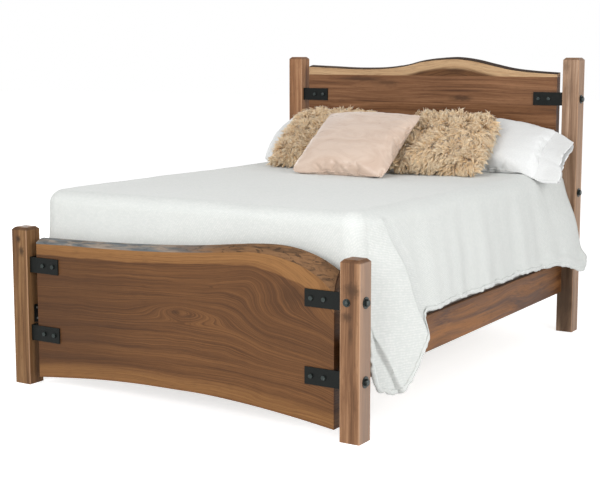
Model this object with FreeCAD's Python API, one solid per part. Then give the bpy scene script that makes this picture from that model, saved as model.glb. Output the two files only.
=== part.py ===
import FreeCAD, Part
import math
import os

# A queen-size walnut bed with bolted live-edge boards, its mattress, coverlet and cushions.
# Lengths are in millimetres. +X is to the right of someone at the foot, the foot is towards -Y, +Z is up.
# The origin is on the floor, at the middle of the rectangle that the four posts stand on.

Vector = FreeCAD.Vector

# The mattress that the frame is made for, and the room left round it
mattress_width = 1524.0
mattress_length = 2032.0
mattress_side_room = 4.0
mattress_end_room = 46.0

# Posts
foot_post_height = 678.0
head_post_height = 1387.0
post_side = 84.0
post_top_chamfer = 11.0
post_edge_chamfer = 2.5

# Live-edge boards
slab_thickness = 45.0
slab_setback = 22.0
slab_end_gap = 36.0
footboard_bottom = 34.0
footboard_above_posts = 19.0
footboard_arch = 50.0
headboard_drop = 737.0
headboard_bottom_board_width = 280.0
headboard_lower_board_width = 215.0
headboard_middle_board_width = 145.0
headboard_crest = 90.0
headboard_bark_rise = 9.0
waney_middle_depth_share = 0.45
waney_middle_rise_share = 0.74

# Steel corner brackets
bracket_height = 66.0
bracket_plate = 6.0
bracket_reach = 159.0
bracket_back_margin = 6.0
bracket_bend_radius = 5.0
bracket_bolt_first = 76.0
bracket_bolt_pitch = 55.0
foot_low_bracket_rise = 193.0
foot_high_bracket_drop = 158.0
head_low_bracket_rise = 62.0
head_high_bracket_rise = 531.0

# Bolts, washers, nuts and screws
post_bolt_radius = 8.0
post_bolt_flats = 24.0
post_bolt_head = 11.0
post_bolt_end = 8.0
post_washer_radius = 22.0
post_washer_plate = 3.0
post_nut_height = 11.0
slab_bolt_radius = 5.0
slab_bolt_flats = 17.0
slab_bolt_head = 7.0
slab_bolt_length = 36.0
front_bolt_flats = 19.0
front_bolt_head = 8.0
front_bolt_inset = 55.0
front_bolt_drop = 157.0
front_bolt_length = 26.0
front_washer_radius = 15.0
front_washer_plate = 2.5
hole_clearance = 0.4
thread_clearance = 0.15
screw_radius = 2.5
screw_head_radius = 4.5
screw_head = 3.0
wood_screw_length = 30.0

# Side rails and their joint plates
rail_thickness = 22.0
rail_height = 154.0
rail_bottom = 202.0
rail_edge_chamfer = 2.5
joint_plate = 4.0
joint_plate_on_rail = 70.0
joint_plate_on_post = 48.0
joint_plate_bracket_gap = 8.0
joint_plate_top_margin = 12.0
joint_plate_screw_inset = 15.0
rail_screw_length = 20.0

# Cleats, slats and centre beam
cleat_height = 30.0
cleat_depth = 22.0
cleat_rise = 10.0
cleat_end_gap = 112.0
cleat_screw_count = 5
cleat_screw_length = 36.0
slat_count = 7
slat_width = 90.0
slat_thickness = 19.0
slat_end_play = 4.0
slat_end_gap = 157.0
slat_edge_chamfer = 2.0
beam_width = 38.0
beam_height = 64.0
leg_side = 45.0
leg_spacing_share = 0.292
leg_screw_radius = 3.0
leg_screw_length = 100.0
leg_screw_head_radius = 7.0
leg_screw_head = 4.0

# Foundation and mattress
foundation_side_play = 11.0
foundation_end_play = 62.0
foundation_height = 229.0
foundation_corner = 40.0
foundation_edge = 6.0
mattress_height = 330.0
mattress_corner = 70.0
mattress_edge = 66.0
mattress_bottom_edge = 22.0

# Coverlet
soft_gap = 0.3
coverlet_thickness = 10.0
coverlet_side_slack = 2.0
coverlet_edge_radius = 58.0
coverlet_head_overhang = 12.0
coverlet_flare = 78.0
coverlet_head_flare = 158.0
coverlet_fold_flare = 126.0
coverlet_fold_sweep = 262.0
coverlet_fold_lead = 175.0
coverlet_fold_rest = 60.0
coverlet_foot_swing = 14.0
coverlet_corner = 74.0
coverlet_side_wave = 11.0
coverlet_foot_wave = 3.0
coverlet_side_waves = 8
coverlet_foot_waves = 4
coverlet_hem_level = 402.0
coverlet_head_hem_drop = 56.0
coverlet_fold_tip_drop = 84.0
coverlet_fold_low_drop = 272.0
coverlet_fold_low_inset = 56.0
coverlet_post_hem_drop = 212.0
coverlet_foot_hem_level = 366.0
coverlet_rail_room = 6.0

# Pillows and cushions
lean_angle = 33.0
cushion_side = 488.0
cushion_drawn_in = 20.0
cushion_tip = 16.0
satin_thickness = 150.0
satin_x = -8.0
satin_turn = 2.0
shag_thickness = 140.0
shag_place_share = 0.228
shag_turn = 6.0
pillow_middle_room = 64.0
pillow_overhang = 65.0
pillow_height = 440.0
pillow_thickness = 140.0
pillow_drawn_in = 24.0
pillow_head_room = 200.0
pillow_shift = 25.0
pillow_corner_drop = 95.0
cushion_edge_lift = 10.0
cushion_spacing_gap = 4.0

# Cuts run past the piece by this much, and places nearer than this are taken as the same
overrun = 40.0
match_tolerance = 1.0
straight_tolerance = 0.03
parallel_share = 0.99

# How much of a head's height is turned off its corners
bolt_corner_share = 0.25
nut_corner_share = 0.17
screw_dome_share = 0.6

# The waney edge of the footboard: place along the board, and the front and back edges' height
footboard_edge_shares = [
    (-0.50, 0.879, 0.903),
    (-0.38, 0.887, 0.908),
    (-0.23, 0.893, 0.916),
    (-0.09, 0.904, 0.930),
    (0.06, 0.925, 0.952),
    (0.18, 0.948, 0.980),
    (0.26, 0.962, 0.997),
    (0.35, 0.944, 0.998),
    (0.41, 0.908, 0.974),
    (0.46, 0.850, 0.935),
    (0.50, 0.778, 0.887),
]

# The arch under the footboard: place along the board, and height within the arch
footboard_arch_shares = [
    (-0.50, 0.00),
    (-0.40, 0.32),
    (-0.27, 0.68),
    (-0.13, 0.90),
    (0.00, 0.97),
    (0.08, 1.00),
    (0.20, 0.87),
    (0.33, 0.58),
    (0.42, 0.30),
    (0.50, 0.00),
]

# The waney edge of the headboard: place along the board, and height within the crest
headboard_edge_shares = [
    (-0.5, 0.48),
    (-0.4, 0.42),
    (-0.28, 0.35),
    (-0.15, 0.42),
    (-0.085, 0.56),
    (-0.02, 0.81),
    (0.06, 0.96),
    (0.115, 1.00),
    (0.19, 0.87),
    (0.26, 0.62),
    (0.335, 0.37),
    (0.41, 0.24),
    (0.5, 0.15),
]

# The coverlet's fall: height between floor and top edge, and how much of the flare it has there
coverlet_fall_shares = [
    (0.17, 1.15),
    (0.43, 1.00),
    (0.59, 0.77),
    (0.78, 0.55),
    (0.93, 0.26),
]

# The turn of the coverlet over the mattress's edge, as angles in degrees
coverlet_turn_angles = [0.0, 32.0, 60.0, 80.0]
coverlet_turn_flare_share = 0.16
coverlet_turn_fade = 4

# How much of the flare each wave's node keeps, counted from the head end
coverlet_head_flare_shares = [1.0, 0.62, 0.30, 0.10]

# A cushion's crown: height above the seam, and size of the outline there
crown_shares = [
    (0.00, 1.00),
    (0.24, 0.955),
    (0.50, 0.86),
    (0.74, 0.71),
    (0.91, 0.52),
    (1.00, 0.30),
]

# How much of its size an outline near the crown's top spends on round corners and on bulging sides
crown_rounding_share = 0.9
crown_bulge_share = 0.1

# Derived places
bed_width = mattress_width + 2 * (mattress_side_room + post_side)
bed_length = mattress_length + 2 * (mattress_end_room + post_side)
half_width = bed_width / 2
half_length = bed_length / 2
post_inner_x = half_width - post_side
post_inner_y = half_length - post_side
slab_length = bed_width - 2 * post_side - 2 * slab_end_gap
foot_face_y = -half_length + slab_setback
head_face_y = post_inner_y + slab_setback
foot_post_y = -half_length + post_side / 2
head_post_y = half_length - post_side / 2
footboard_depth = foot_post_height - footboard_bottom + footboard_above_posts
headboard_bottom = head_post_height - headboard_drop
headboard_low_glue_line = headboard_bottom + headboard_bottom_board_width
headboard_middle_glue_line = headboard_low_glue_line + headboard_lower_board_width
headboard_high_glue_line = headboard_middle_glue_line + headboard_middle_board_width
foot_low_bracket_level = footboard_bottom + foot_low_bracket_rise
foot_high_bracket_level = foot_post_height - foot_high_bracket_drop
head_low_bracket_level = headboard_bottom + head_low_bracket_rise
head_high_bracket_level = headboard_bottom + head_high_bracket_rise
front_bolt_level = foot_post_height - front_bolt_drop
rail_top = rail_bottom + rail_height
cleat_bottom = rail_bottom + cleat_rise
slat_bottom = cleat_bottom + cleat_height
foundation_bottom = slat_bottom + slat_thickness
mattress_bottom = foundation_bottom + foundation_height
mattress_top = mattress_bottom + mattress_height
coverlet_top = mattress_top + soft_gap + coverlet_thickness
cushion_floor = coverlet_top + soft_gap
rail_length = 2 * post_inner_y
leg_spacing = rail_length * leg_spacing_share
shag_x = mattress_width * shag_place_share
pillow_width = (mattress_width - pillow_middle_room) / 2
pillow_x = mattress_width / 2 + pillow_overhang - pillow_width / 2
pillow_y = post_inner_y - pillow_head_room
beam_bottom = slat_bottom - beam_height


def write(name, shape):
    """Save one sub-part."""
    shape.exportStep("parts/" + name + ".step")


def box(low, high):
    """A block between two corners."""
    size = high.sub(low)
    return Part.makeBox(size.x, size.y, size.z, low)


def cylinder(centre, direction, radius, length):
    """A round bar from its centre along a direction."""
    return Part.makeCylinder(radius, length, centre, direction)


def edges_along(shape, axis):
    """The straight edges of a block that run along one axis."""
    found = []
    for edge in shape.Edges:
        tangent = edge.tangentAt(edge.FirstParameter)
        if abs(tangent.dot(axis)) > parallel_share:
            found.append(edge)
    return found


def edges_at(shape, level):
    """The edges of a block that lie at one height."""
    return [edge for edge in shape.Edges if abs(edge.CenterOfMass.z - level) < match_tolerance]


def hexagon_bar(flats, length, corner):
    """A hexagonal head along +Z from the origin, with its outer corners turned off."""
    across = flats / math.sqrt(3)
    points = []
    for step in range(7):
        angle = math.radians(60 * step)
        points.append(Vector(across * math.cos(angle), across * math.sin(angle), 0))
    prism = Part.Face(Part.makePolygon(points)).extrude(Vector(0, 0, length))
    turned = Part.makeCylinder(across, length)
    rim = [edge for edge in turned.Edges if edge.Closed and edge.CenterOfMass.z > length / 2]
    return prism.common(turned.makeChamfer(corner, rim))


def lay_along(shape, seat, direction):
    """Turn a shape made along +Z so that it points along a direction from its seat."""
    turn = FreeCAD.Rotation(Vector(0, 0, 1), direction)
    placed = shape.copy()
    placed.Placement = FreeCAD.Placement(seat, turn)
    return placed


def hex_bolt(seat, outwards, flats, head, radius, length):
    """A bolt whose head sits on its seat and points outwards, with the shank going in."""
    top = hexagon_bar(flats, head, head * bolt_corner_share)
    shank = cylinder(Vector(0, 0, -length), Vector(0, 0, 1), radius, length)
    return lay_along(top.fuse(shank).removeSplitter(), seat, outwards)


def round_screw(seat, outwards, radius, head_radius, head, length):
    """A screw with a low domed head."""
    top = Part.makeCylinder(head_radius, head)
    rim = [edge for edge in top.Edges if edge.Closed and edge.CenterOfMass.z > head / 2]
    dome = top.makeFillet(head * screw_dome_share, rim)
    shank = cylinder(Vector(0, 0, -length), Vector(0, 0, 1), radius, length)
    return lay_along(dome.fuse(shank).removeSplitter(), seat, outwards)


def washer(seat, outwards, radius, bore, plate):
    """A flat ring that lies on its seat."""
    ring = Part.makeCylinder(radius, plate).cut(Part.makeCylinder(bore, plate))
    return lay_along(ring, seat, outwards)


def hex_nut(seat, outwards, flats, height, bore):
    """A nut that lies on its seat."""
    body = hexagon_bar(flats, height, height * nut_corner_share).cut(Part.makeCylinder(bore, height))
    return lay_along(body, seat, outwards)


def bore(seat, outwards, radius, length):
    """The hole that a shank needs below its seat, started a little above it."""
    start = seat.add(Vector(outwards).multiply(overrun))
    return cylinder(start, Vector(outwards).negative(), radius + hole_clearance, length + overrun)


def cut_all(shape, cutters):
    """Take each of the cutters away."""
    if not cutters:
        return shape
    return shape.cut(Part.makeCompound(cutters))


# Places of the fasteners

def bracket_levels(end):
    """The two heights of the brackets at the foot or head end."""
    if end == "foot":
        return [("lower", foot_low_bracket_level), ("upper", foot_high_bracket_level)]
    return [("lower", head_low_bracket_level), ("upper", head_high_bracket_level)]


def face_y(end):
    """The board face that the brackets lie on."""
    return foot_face_y if end == "foot" else head_face_y


def post_y(end):
    """The middle of the posts at one end."""
    return foot_post_y if end == "foot" else head_post_y


def slab_bolt_seats(end, side, level):
    """The two bolts through a bracket into the board."""
    seats = []
    for number in range(2):
        reach = bracket_bolt_first + number * bracket_bolt_pitch
        seats.append(Vector(side * (post_inner_x - reach), face_y(end) - bracket_plate, level))
    return seats


def post_bolt_length():
    """From under the washer, through post, bracket and nut, to a short free end."""
    return post_washer_plate + post_side + bracket_plate + post_nut_height + post_bolt_end


def post_bolt_seat(end, side, level):
    """The outer face of the washer of a post bolt."""
    return Vector(side * (half_width + post_washer_plate), post_y(end), level)


def plate_bottom():
    """The joint plates start just above the lower brackets of the foot end."""
    return foot_low_bracket_level + bracket_height / 2 + joint_plate_bracket_gap


def plate_top():
    """The joint plates end a little under the rail's top."""
    return rail_top - joint_plate_top_margin


def joint_plate_screws(end, side):
    """Seats and lengths of the four screws of one joint plate, as (seat, length)."""
    way = -1 if end == "foot" else 1
    joint_y = way * post_inner_y
    x = side * (post_inner_x - joint_plate)
    heights = [plate_bottom() + joint_plate_screw_inset, plate_top() - joint_plate_screw_inset]
    on_rail = joint_y - way * (joint_plate_on_rail - joint_plate_screw_inset)
    on_post = joint_y + way * (joint_plate_on_post - joint_plate_screw_inset)
    screws = []
    for z in heights:
        screws.append((Vector(x, on_rail, z), rail_screw_length))
        screws.append((Vector(x, on_post, z), wood_screw_length))
    return screws


def cleat_screws(side):
    """Seats of the screws through a cleat into its rail."""
    span = rail_length - 2 * cleat_end_gap
    seats = []
    for number in range(cleat_screw_count):
        y = -span / 2 + span * (number + 0.5) / cleat_screw_count
        seats.append(Vector(side * (post_inner_x - cleat_depth), y, cleat_bottom + cleat_height / 2))
    return seats


def slat_places():
    """The middles of the slats along the bed."""
    first = -post_inner_y + slat_end_gap + slat_width / 2
    pitch = -2 * first / (slat_count - 1)
    return [first + pitch * number for number in range(slat_count)]


def slat_screw_seats(y):
    """The two screws that hold one slat to the cleats."""
    x = post_inner_x - cleat_depth / 2
    return [Vector(side * x, y, slat_bottom + slat_thickness) for side in (-1, 1)]


def leg_places():
    """The middles of the legs along the centre beam."""
    return [("foot", -leg_spacing), ("middle", 0), ("head", leg_spacing)]


def leg_screw_seat(y):
    """A leg screw's head lies in a counterbore in the beam's top."""
    return Vector(0, y, slat_bottom - leg_screw_head)


# Posts, boards and rails

def eased_square(x, y, half, ease, z):
    """A square outline about a point, with its corners cut off."""
    corners = [(1, 1), (-1, 1), (-1, -1), (1, -1)]
    points = []
    for number, (sx, sy) in enumerate(corners):
        along_x = Vector(x + sx * (half - ease), y + sy * half, z)
        along_y = Vector(x + sx * half, y + sy * (half - ease), z)
        points.extend([along_y, along_x] if number % 2 == 0 else [along_x, along_y])
    points.append(points[0])
    return Part.makePolygon(points)


def post(end, side):
    """A square post with eased edges, a chamfered top and its bolt holes."""
    height = foot_post_height if end == "foot" else head_post_height
    x = side * (half_width - post_side / 2)
    y = post_y(end)
    half = post_side / 2
    wires = [
        eased_square(x, y, half, post_edge_chamfer, 0),
        eased_square(x, y, half, post_edge_chamfer, height - post_top_chamfer),
        eased_square(x, y, half - post_top_chamfer, post_edge_chamfer, height),
    ]
    block = Part.makeLoft(wires, True, True)
    cutters = []
    for _, level in bracket_levels(end):
        seat = post_bolt_seat(end, side, level)
        cutters.append(bore(seat, Vector(side, 0, 0), post_bolt_radius, post_side + overrun))
    for seat, length in joint_plate_screws(end, side):
        if abs(seat.y) > post_inner_y:
            cutters.append(bore(seat, Vector(-side, 0, 0), screw_radius, length))
    if end == "foot" and side > 0:
        cutters.append(bore(front_bolt_seat(), Vector(0, -1, 0), slab_bolt_radius, front_bolt_length))
    return cut_all(block, cutters)


def front_bolt_seat():
    """The bolt on the front of the right foot post, on top of its washer."""
    return Vector(half_width - front_bolt_inset, -half_length - front_washer_plate, front_bolt_level)


def spline_through(points):
    """One smooth edge through the points."""
    curve = Part.BSplineCurve()
    curve.interpolate(points)
    return curve.toShape()


def board_wire(y, lower, upper):
    """A board's outline in the plane of one depth, from its lower and upper edge points."""
    low = [Vector(x, y, z) for x, z in lower]
    high = [Vector(x, y, z) for x, z in upper]
    bottom = spline_through(low) if len(low) > 2 else Part.makeLine(low[0], low[-1])
    top = spline_through(high)
    left = Part.makeLine(high[0], low[0])
    right = Part.makeLine(low[-1], high[-1])
    return Part.Wire([bottom, right, top, left])


def waney_board(front_y, lower, front_upper, back_upper):
    """A board whose bark edge slopes and rounds up from the front face to the back face."""
    middle = []
    for (x, front_z), (_, back_z) in zip(front_upper, back_upper):
        middle.append((x, front_z + (back_z - front_z) * waney_middle_rise_share))
    wires = [
        board_wire(front_y, lower, front_upper),
        board_wire(front_y + slab_thickness * waney_middle_depth_share, lower, middle),
        board_wire(front_y + slab_thickness, lower, back_upper),
    ]
    return Part.makeLoft(wires, True, True)


def bracket_bolt_holes(end):
    """The bolt holes that the brackets of one end need in its board."""
    cutters = []
    for side in (-1, 1):
        for _, level in bracket_levels(end):
            for seat in slab_bolt_seats(end, side, level):
                cutters.append(bore(seat, Vector(0, -1, 0), slab_bolt_radius, slab_bolt_length))
    return cutters


def footboard_slab():
    """The footboard: one wide slab with a natural edge above and an arched edge below."""
    lower = [(x * slab_length, footboard_bottom + z * footboard_arch) for x, z in footboard_arch_shares]
    front = []
    back = []
    for x, front_z, back_z in footboard_edge_shares:
        front.append((x * slab_length, footboard_bottom + front_z * footboard_depth))
        back.append((x * slab_length, footboard_bottom + back_z * footboard_depth))
    return cut_all(waney_board(foot_face_y, lower, front, back), bracket_bolt_holes("foot"))


def headboard_boards():
    """The headboard: four edge-glued boards, the top one with a natural edge."""
    half = slab_length / 2
    front = []
    back = []
    for x, z in headboard_edge_shares:
        height = headboard_high_glue_line + z * headboard_crest
        front.append((x * slab_length, height))
        back.append((x * slab_length, height + headboard_bark_rise))
    lower = [(-half, headboard_high_glue_line), (half, headboard_high_glue_line)]
    holes = bracket_bolt_holes("head")
    boards = {"headboard_top_board": waney_board(head_face_y, lower, front, back)}
    levels = [
        ("headboard_bottom_board", headboard_bottom, headboard_low_glue_line),
        ("headboard_lower_board", headboard_low_glue_line, headboard_middle_glue_line),
        ("headboard_middle_board", headboard_middle_glue_line, headboard_high_glue_line),
    ]
    for name, low, high in levels:
        block = box(Vector(-half, head_face_y, low), Vector(half, head_face_y + slab_thickness, high))
        boards[name] = cut_all(block, holes)
    return boards


def side_rail(side):
    """A side rail between the posts, with eased outer edges."""
    inner = Vector(side * post_inner_x, -post_inner_y, rail_bottom)
    outer = Vector(side * (post_inner_x + rail_thickness), post_inner_y, rail_top)
    low = Vector(min(inner.x, outer.x), inner.y, inner.z)
    high = Vector(max(inner.x, outer.x), outer.y, outer.z)
    block = box(low, high)
    outside = []
    for edge in edges_along(block, Vector(0, 1, 0)):
        if abs(edge.CenterOfMass.x - outer.x) < match_tolerance:
            outside.append(edge)
    block = block.makeChamfer(rail_edge_chamfer, outside)
    cutters = []
    for end in ("foot", "head"):
        for seat, length in joint_plate_screws(end, side):
            if abs(seat.y) < post_inner_y:
                cutters.append(bore(seat, Vector(-side, 0, 0), screw_radius, length))
    for seat in cleat_screws(side):
        cutters.append(bore(seat, Vector(-side, 0, 0), screw_radius, cleat_screw_length))
    return cut_all(block, cutters)


# Steel fittings

def corner_bracket(end, side, level):
    """An angle bracket: one leg on the board's face, the other back along the post's inner face."""
    face = face_y(end)
    post_face = side * post_inner_x
    low = level - bracket_height / 2
    high = level + bracket_height / 2
    tip = side * (post_inner_x - bracket_reach)
    back = post_y(end) + post_side / 2 - bracket_back_margin
    front_leg = box(
        Vector(min(post_face, tip), face - bracket_plate, low),
        Vector(max(post_face, tip), face, high),
    )
    leg_edge = side * (post_inner_x - bracket_plate)
    side_leg = box(
        Vector(min(post_face, leg_edge), face - bracket_plate, low),
        Vector(max(post_face, leg_edge), back, high),
    )
    angle = front_leg.fuse(side_leg).removeSplitter()
    bend = []
    for edge in edges_along(angle, Vector(0, 0, 1)):
        off = edge.CenterOfMass.sub(Vector(post_face, face - bracket_plate, level))
        if off.Length < match_tolerance:
            bend.append(edge)
    angle = angle.makeFillet(bracket_bend_radius, bend)
    cutters = []
    for seat in slab_bolt_seats(end, side, level):
        cutters.append(bore(seat, Vector(0, -1, 0), slab_bolt_radius, bracket_plate + overrun))
    inside = Vector(post_face, post_y(end), level)
    cutters.append(bore(inside, Vector(side, 0, 0), post_bolt_radius, bracket_plate + overrun / 2))
    return cut_all(angle, cutters)


def slab_bolts(end):
    """The bolts that hold the brackets of one end to its board."""
    bolts = []
    for side in (-1, 1):
        for _, level in bracket_levels(end):
            for seat in slab_bolt_seats(end, side, level):
                bolt = hex_bolt(seat, Vector(0, -1, 0), slab_bolt_flats, slab_bolt_head, slab_bolt_radius,
                                slab_bolt_length)
                bolts.append(bolt)
    return Part.makeCompound(bolts)


def post_bolts(end):
    """The bolts through the posts of one end."""
    bolts = []
    for side in (-1, 1):
        for _, level in bracket_levels(end):
            seat = post_bolt_seat(end, side, level)
            bolt = hex_bolt(seat, Vector(side, 0, 0), post_bolt_flats, post_bolt_head, post_bolt_radius,
                            post_bolt_length())
            bolts.append(bolt)
    return Part.makeCompound(bolts)


def post_washers(end):
    """The round washers under the post bolts' heads."""
    rings = []
    for side in (-1, 1):
        for _, level in bracket_levels(end):
            seat = Vector(side * half_width, post_y(end), level)
            ring = washer(seat, Vector(side, 0, 0), post_washer_radius, post_bolt_radius + hole_clearance,
                          post_washer_plate)
            rings.append(ring)
    return Part.makeCompound(rings)


def post_nuts(end):
    """The nuts that clamp the brackets' side legs, in the gap beside the board."""
    nuts = []
    for side in (-1, 1):
        for _, level in bracket_levels(end):
            seat = Vector(side * (post_inner_x - bracket_plate), post_y(end), level)
            nut = hex_nut(seat, Vector(-side, 0, 0), post_bolt_flats, post_nut_height,
                          post_bolt_radius + thread_clearance)
            nuts.append(nut)
    return Part.makeCompound(nuts)


def front_bolt():
    """The single bolt on the front of the right foot post."""
    return hex_bolt(front_bolt_seat(), Vector(0, -1, 0), front_bolt_flats, front_bolt_head, slab_bolt_radius,
                    front_bolt_length)


def front_washer():
    """The washer of that bolt."""
    seat = front_bolt_seat().add(Vector(0, front_washer_plate, 0))
    return washer(seat, Vector(0, -1, 0), front_washer_radius, slab_bolt_radius + hole_clearance,
                  front_washer_plate)


def joint_plate_piece(end, side):
    """A flat steel plate that ties a rail to its post on the inside."""
    way = -1 if end == "foot" else 1
    joint_y = way * post_inner_y
    ends = [joint_y - way * joint_plate_on_rail, joint_y + way * joint_plate_on_post]
    xs = [side * (post_inner_x - joint_plate), side * post_inner_x]
    plate = box(Vector(min(xs), min(ends), plate_bottom()), Vector(max(xs), max(ends), plate_top()))
    cutters = []
    for seat, _ in joint_plate_screws(end, side):
        cutters.append(bore(seat, Vector(-side, 0, 0), screw_radius, joint_plate + overrun))
    return cut_all(plate, cutters)


def all_joint_plate_screws():
    """The screws of the four joint plates."""
    screws = []
    for end in ("foot", "head"):
        for side in (-1, 1):
            for seat, length in joint_plate_screws(end, side):
                screws.append(round_screw(seat, Vector(-side, 0, 0), screw_radius, screw_head_radius, screw_head,
                                          length))
    return Part.makeCompound(screws)


# Mattress support

def cleat(side):
    """The ledge inside a rail that the slats lie on."""
    half = rail_length / 2 - cleat_end_gap
    xs = [side * (post_inner_x - cleat_depth), side * post_inner_x]
    strip = box(Vector(min(xs), -half, cleat_bottom), Vector(max(xs), half, cleat_bottom + cleat_height))
    cutters = []
    for seat in cleat_screws(side):
        cutters.append(bore(seat, Vector(-side, 0, 0), screw_radius, cleat_depth + overrun))
    for y in slat_places():
        for seat in slat_screw_seats(y):
            cutters.append(bore(seat, Vector(0, 0, 1), screw_radius, wood_screw_length))
    return cut_all(strip, cutters)


def all_cleat_screws():
    """The screws of both cleats."""
    screws = []
    for side in (-1, 1):
        for seat in cleat_screws(side):
            screws.append(round_screw(seat, Vector(-side, 0, 0), screw_radius, screw_head_radius, screw_head,
                                      cleat_screw_length))
    return Part.makeCompound(screws)


def slat(y):
    """One slat from cleat to cleat, with eased long edges."""
    half = post_inner_x - slat_end_play
    low = Vector(-half, y - slat_width / 2, slat_bottom)
    high = Vector(half, y + slat_width / 2, slat_bottom + slat_thickness)
    block = box(low, high)
    upper = [edge for edge in edges_along(block, Vector(1, 0, 0)) if edge.CenterOfMass.z > slat_bottom + match_tolerance]
    block = block.makeChamfer(slat_edge_chamfer, upper)
    cutters = []
    for seat in slat_screw_seats(y):
        sunk = seat.sub(Vector(0, 0, screw_head))
        cutters.append(bore(sunk, Vector(0, 0, 1), screw_head_radius, 0))
        cutters.append(bore(seat, Vector(0, 0, 1), screw_radius, slat_thickness + overrun))
    return cut_all(block, cutters)


def all_slat_screws():
    """The slat screws, their heads let in flush with the slats' tops."""
    screws = []
    for y in slat_places():
        for seat in slat_screw_seats(y):
            sunk = seat.sub(Vector(0, 0, screw_head))
            screws.append(round_screw(sunk, Vector(0, 0, 1), screw_radius, screw_head_radius, screw_head,
                                      wood_screw_length - screw_head))
    return Part.makeCompound(screws)


def centre_beam():
    """The beam under the middle of the slats."""
    half = rail_length / 2 - cleat_end_gap
    beam = box(Vector(-beam_width / 2, -half, beam_bottom), Vector(beam_width / 2, half, slat_bottom))
    cutters = []
    for _, y in leg_places():
        seat = leg_screw_seat(y)
        cutters.append(bore(seat, Vector(0, 0, 1), leg_screw_head_radius, 0))
        cutters.append(bore(seat, Vector(0, 0, 1), leg_screw_radius, beam_height + overrun))
    return cut_all(beam, cutters)


def centre_leg(y):
    """A square leg from the floor to the beam."""
    half = leg_side / 2
    leg = box(Vector(-half, y - half, 0), Vector(half, y + half, beam_bottom))
    leg = leg.makeChamfer(post_edge_chamfer, edges_along(leg, Vector(0, 0, 1)))
    return leg.cut(bore(leg_screw_seat(y), Vector(0, 0, 1), leg_screw_radius, leg_screw_length))


def leg_screws():
    """The long screws from the beam into the legs."""
    screws = []
    for _, y in leg_places():
        screws.append(round_screw(leg_screw_seat(y), Vector(0, 0, 1), leg_screw_radius, leg_screw_head_radius,
                                  leg_screw_head, leg_screw_length))
    return Part.makeCompound(screws)


def foundation():
    """The upholstered base under the mattress."""
    half_x = post_inner_x - foundation_side_play
    half_y = post_inner_y - foundation_end_play
    block = box(Vector(-half_x, -half_y, foundation_bottom), Vector(half_x, half_y, mattress_bottom))
    block = block.makeFillet(foundation_corner, edges_along(block, Vector(0, 0, 1)))
    rims = edges_at(block, mattress_bottom)
    return block.makeFillet(foundation_edge, rims)


def mattress():
    """The mattress, rounded along its top and bottom."""
    half_x = mattress_width / 2
    half_y = mattress_length / 2
    block = box(Vector(-half_x, -half_y, mattress_bottom), Vector(half_x, half_y, mattress_top))
    block = block.makeFillet(mattress_corner, edges_along(block, Vector(0, 0, 1)))
    block = block.makeFillet(mattress_edge, edges_at(block, mattress_top))
    return block.makeFillet(mattress_bottom_edge, edges_at(block, mattress_bottom))


# Coverlet

def arc(start, middle, end):
    """An arc through three points, or the straight line where they are in line."""
    along = end.sub(start)
    off = middle.sub(start).cross(along).Length / along.Length
    if off < straight_tolerance:
        return Part.makeLine(start, end)
    return Part.Arc(start, middle, end).toShape()


def coverlet_levels(skin):
    """Each level of the coverlet as (height, inset at the turned edge, share of the flare).

    skin is 0 on the outside, and the cloth's thickness on the inside.
    """
    turn_start = coverlet_top - coverlet_edge_radius
    radius = coverlet_edge_radius - skin
    levels = []
    for height, flare in coverlet_fall_shares:
        levels.append((turn_start * height, 0, flare))
    for angle in coverlet_turn_angles:
        turn = math.radians(angle)
        flare = coverlet_turn_flare_share * math.cos(turn) ** coverlet_turn_fade
        levels.append((turn_start + radius * math.sin(turn), radius * (1 - math.cos(turn)), flare))
    return levels


def coverlet_side_nodes(edge_x, edge_y, flare, sweep, corner, skin):
    """The wave nodes of one side, and the tip and shoulder of its foot fold."""
    head_y = mattress_length / 2 + coverlet_head_overhang
    if skin > 0:
        head_y = head_y + overrun
    shoulder_y = -edge_y + corner
    tip_y = shoulder_y + coverlet_fold_rest + (coverlet_fold_sweep - coverlet_fold_rest) * sweep
    last_y = tip_y + coverlet_fold_rest + (coverlet_fold_lead - coverlet_fold_rest) * sweep
    nodes = []
    for number in range(coverlet_side_waves + 1):
        y = head_y + (last_y - head_y) * number / coverlet_side_waves
        extra = coverlet_head_flare_shares[number] if number < len(coverlet_head_flare_shares) else 0
        x = edge_x + flare * (coverlet_flare + (coverlet_head_flare - coverlet_flare) * extra)
        nodes.append((x, y))
    nodes.append((edge_x + coverlet_fold_flare * flare, tip_y))
    nodes.append((edge_x + coverlet_foot_swing * flare, shoulder_y - coverlet_foot_swing * sweep))
    return nodes


def between(start, end, swing):
    """The middle of two points, moved sideways by a swing."""
    return ((start[0] + end[0]) / 2 + swing, (start[1] + end[1]) / 2)


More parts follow.
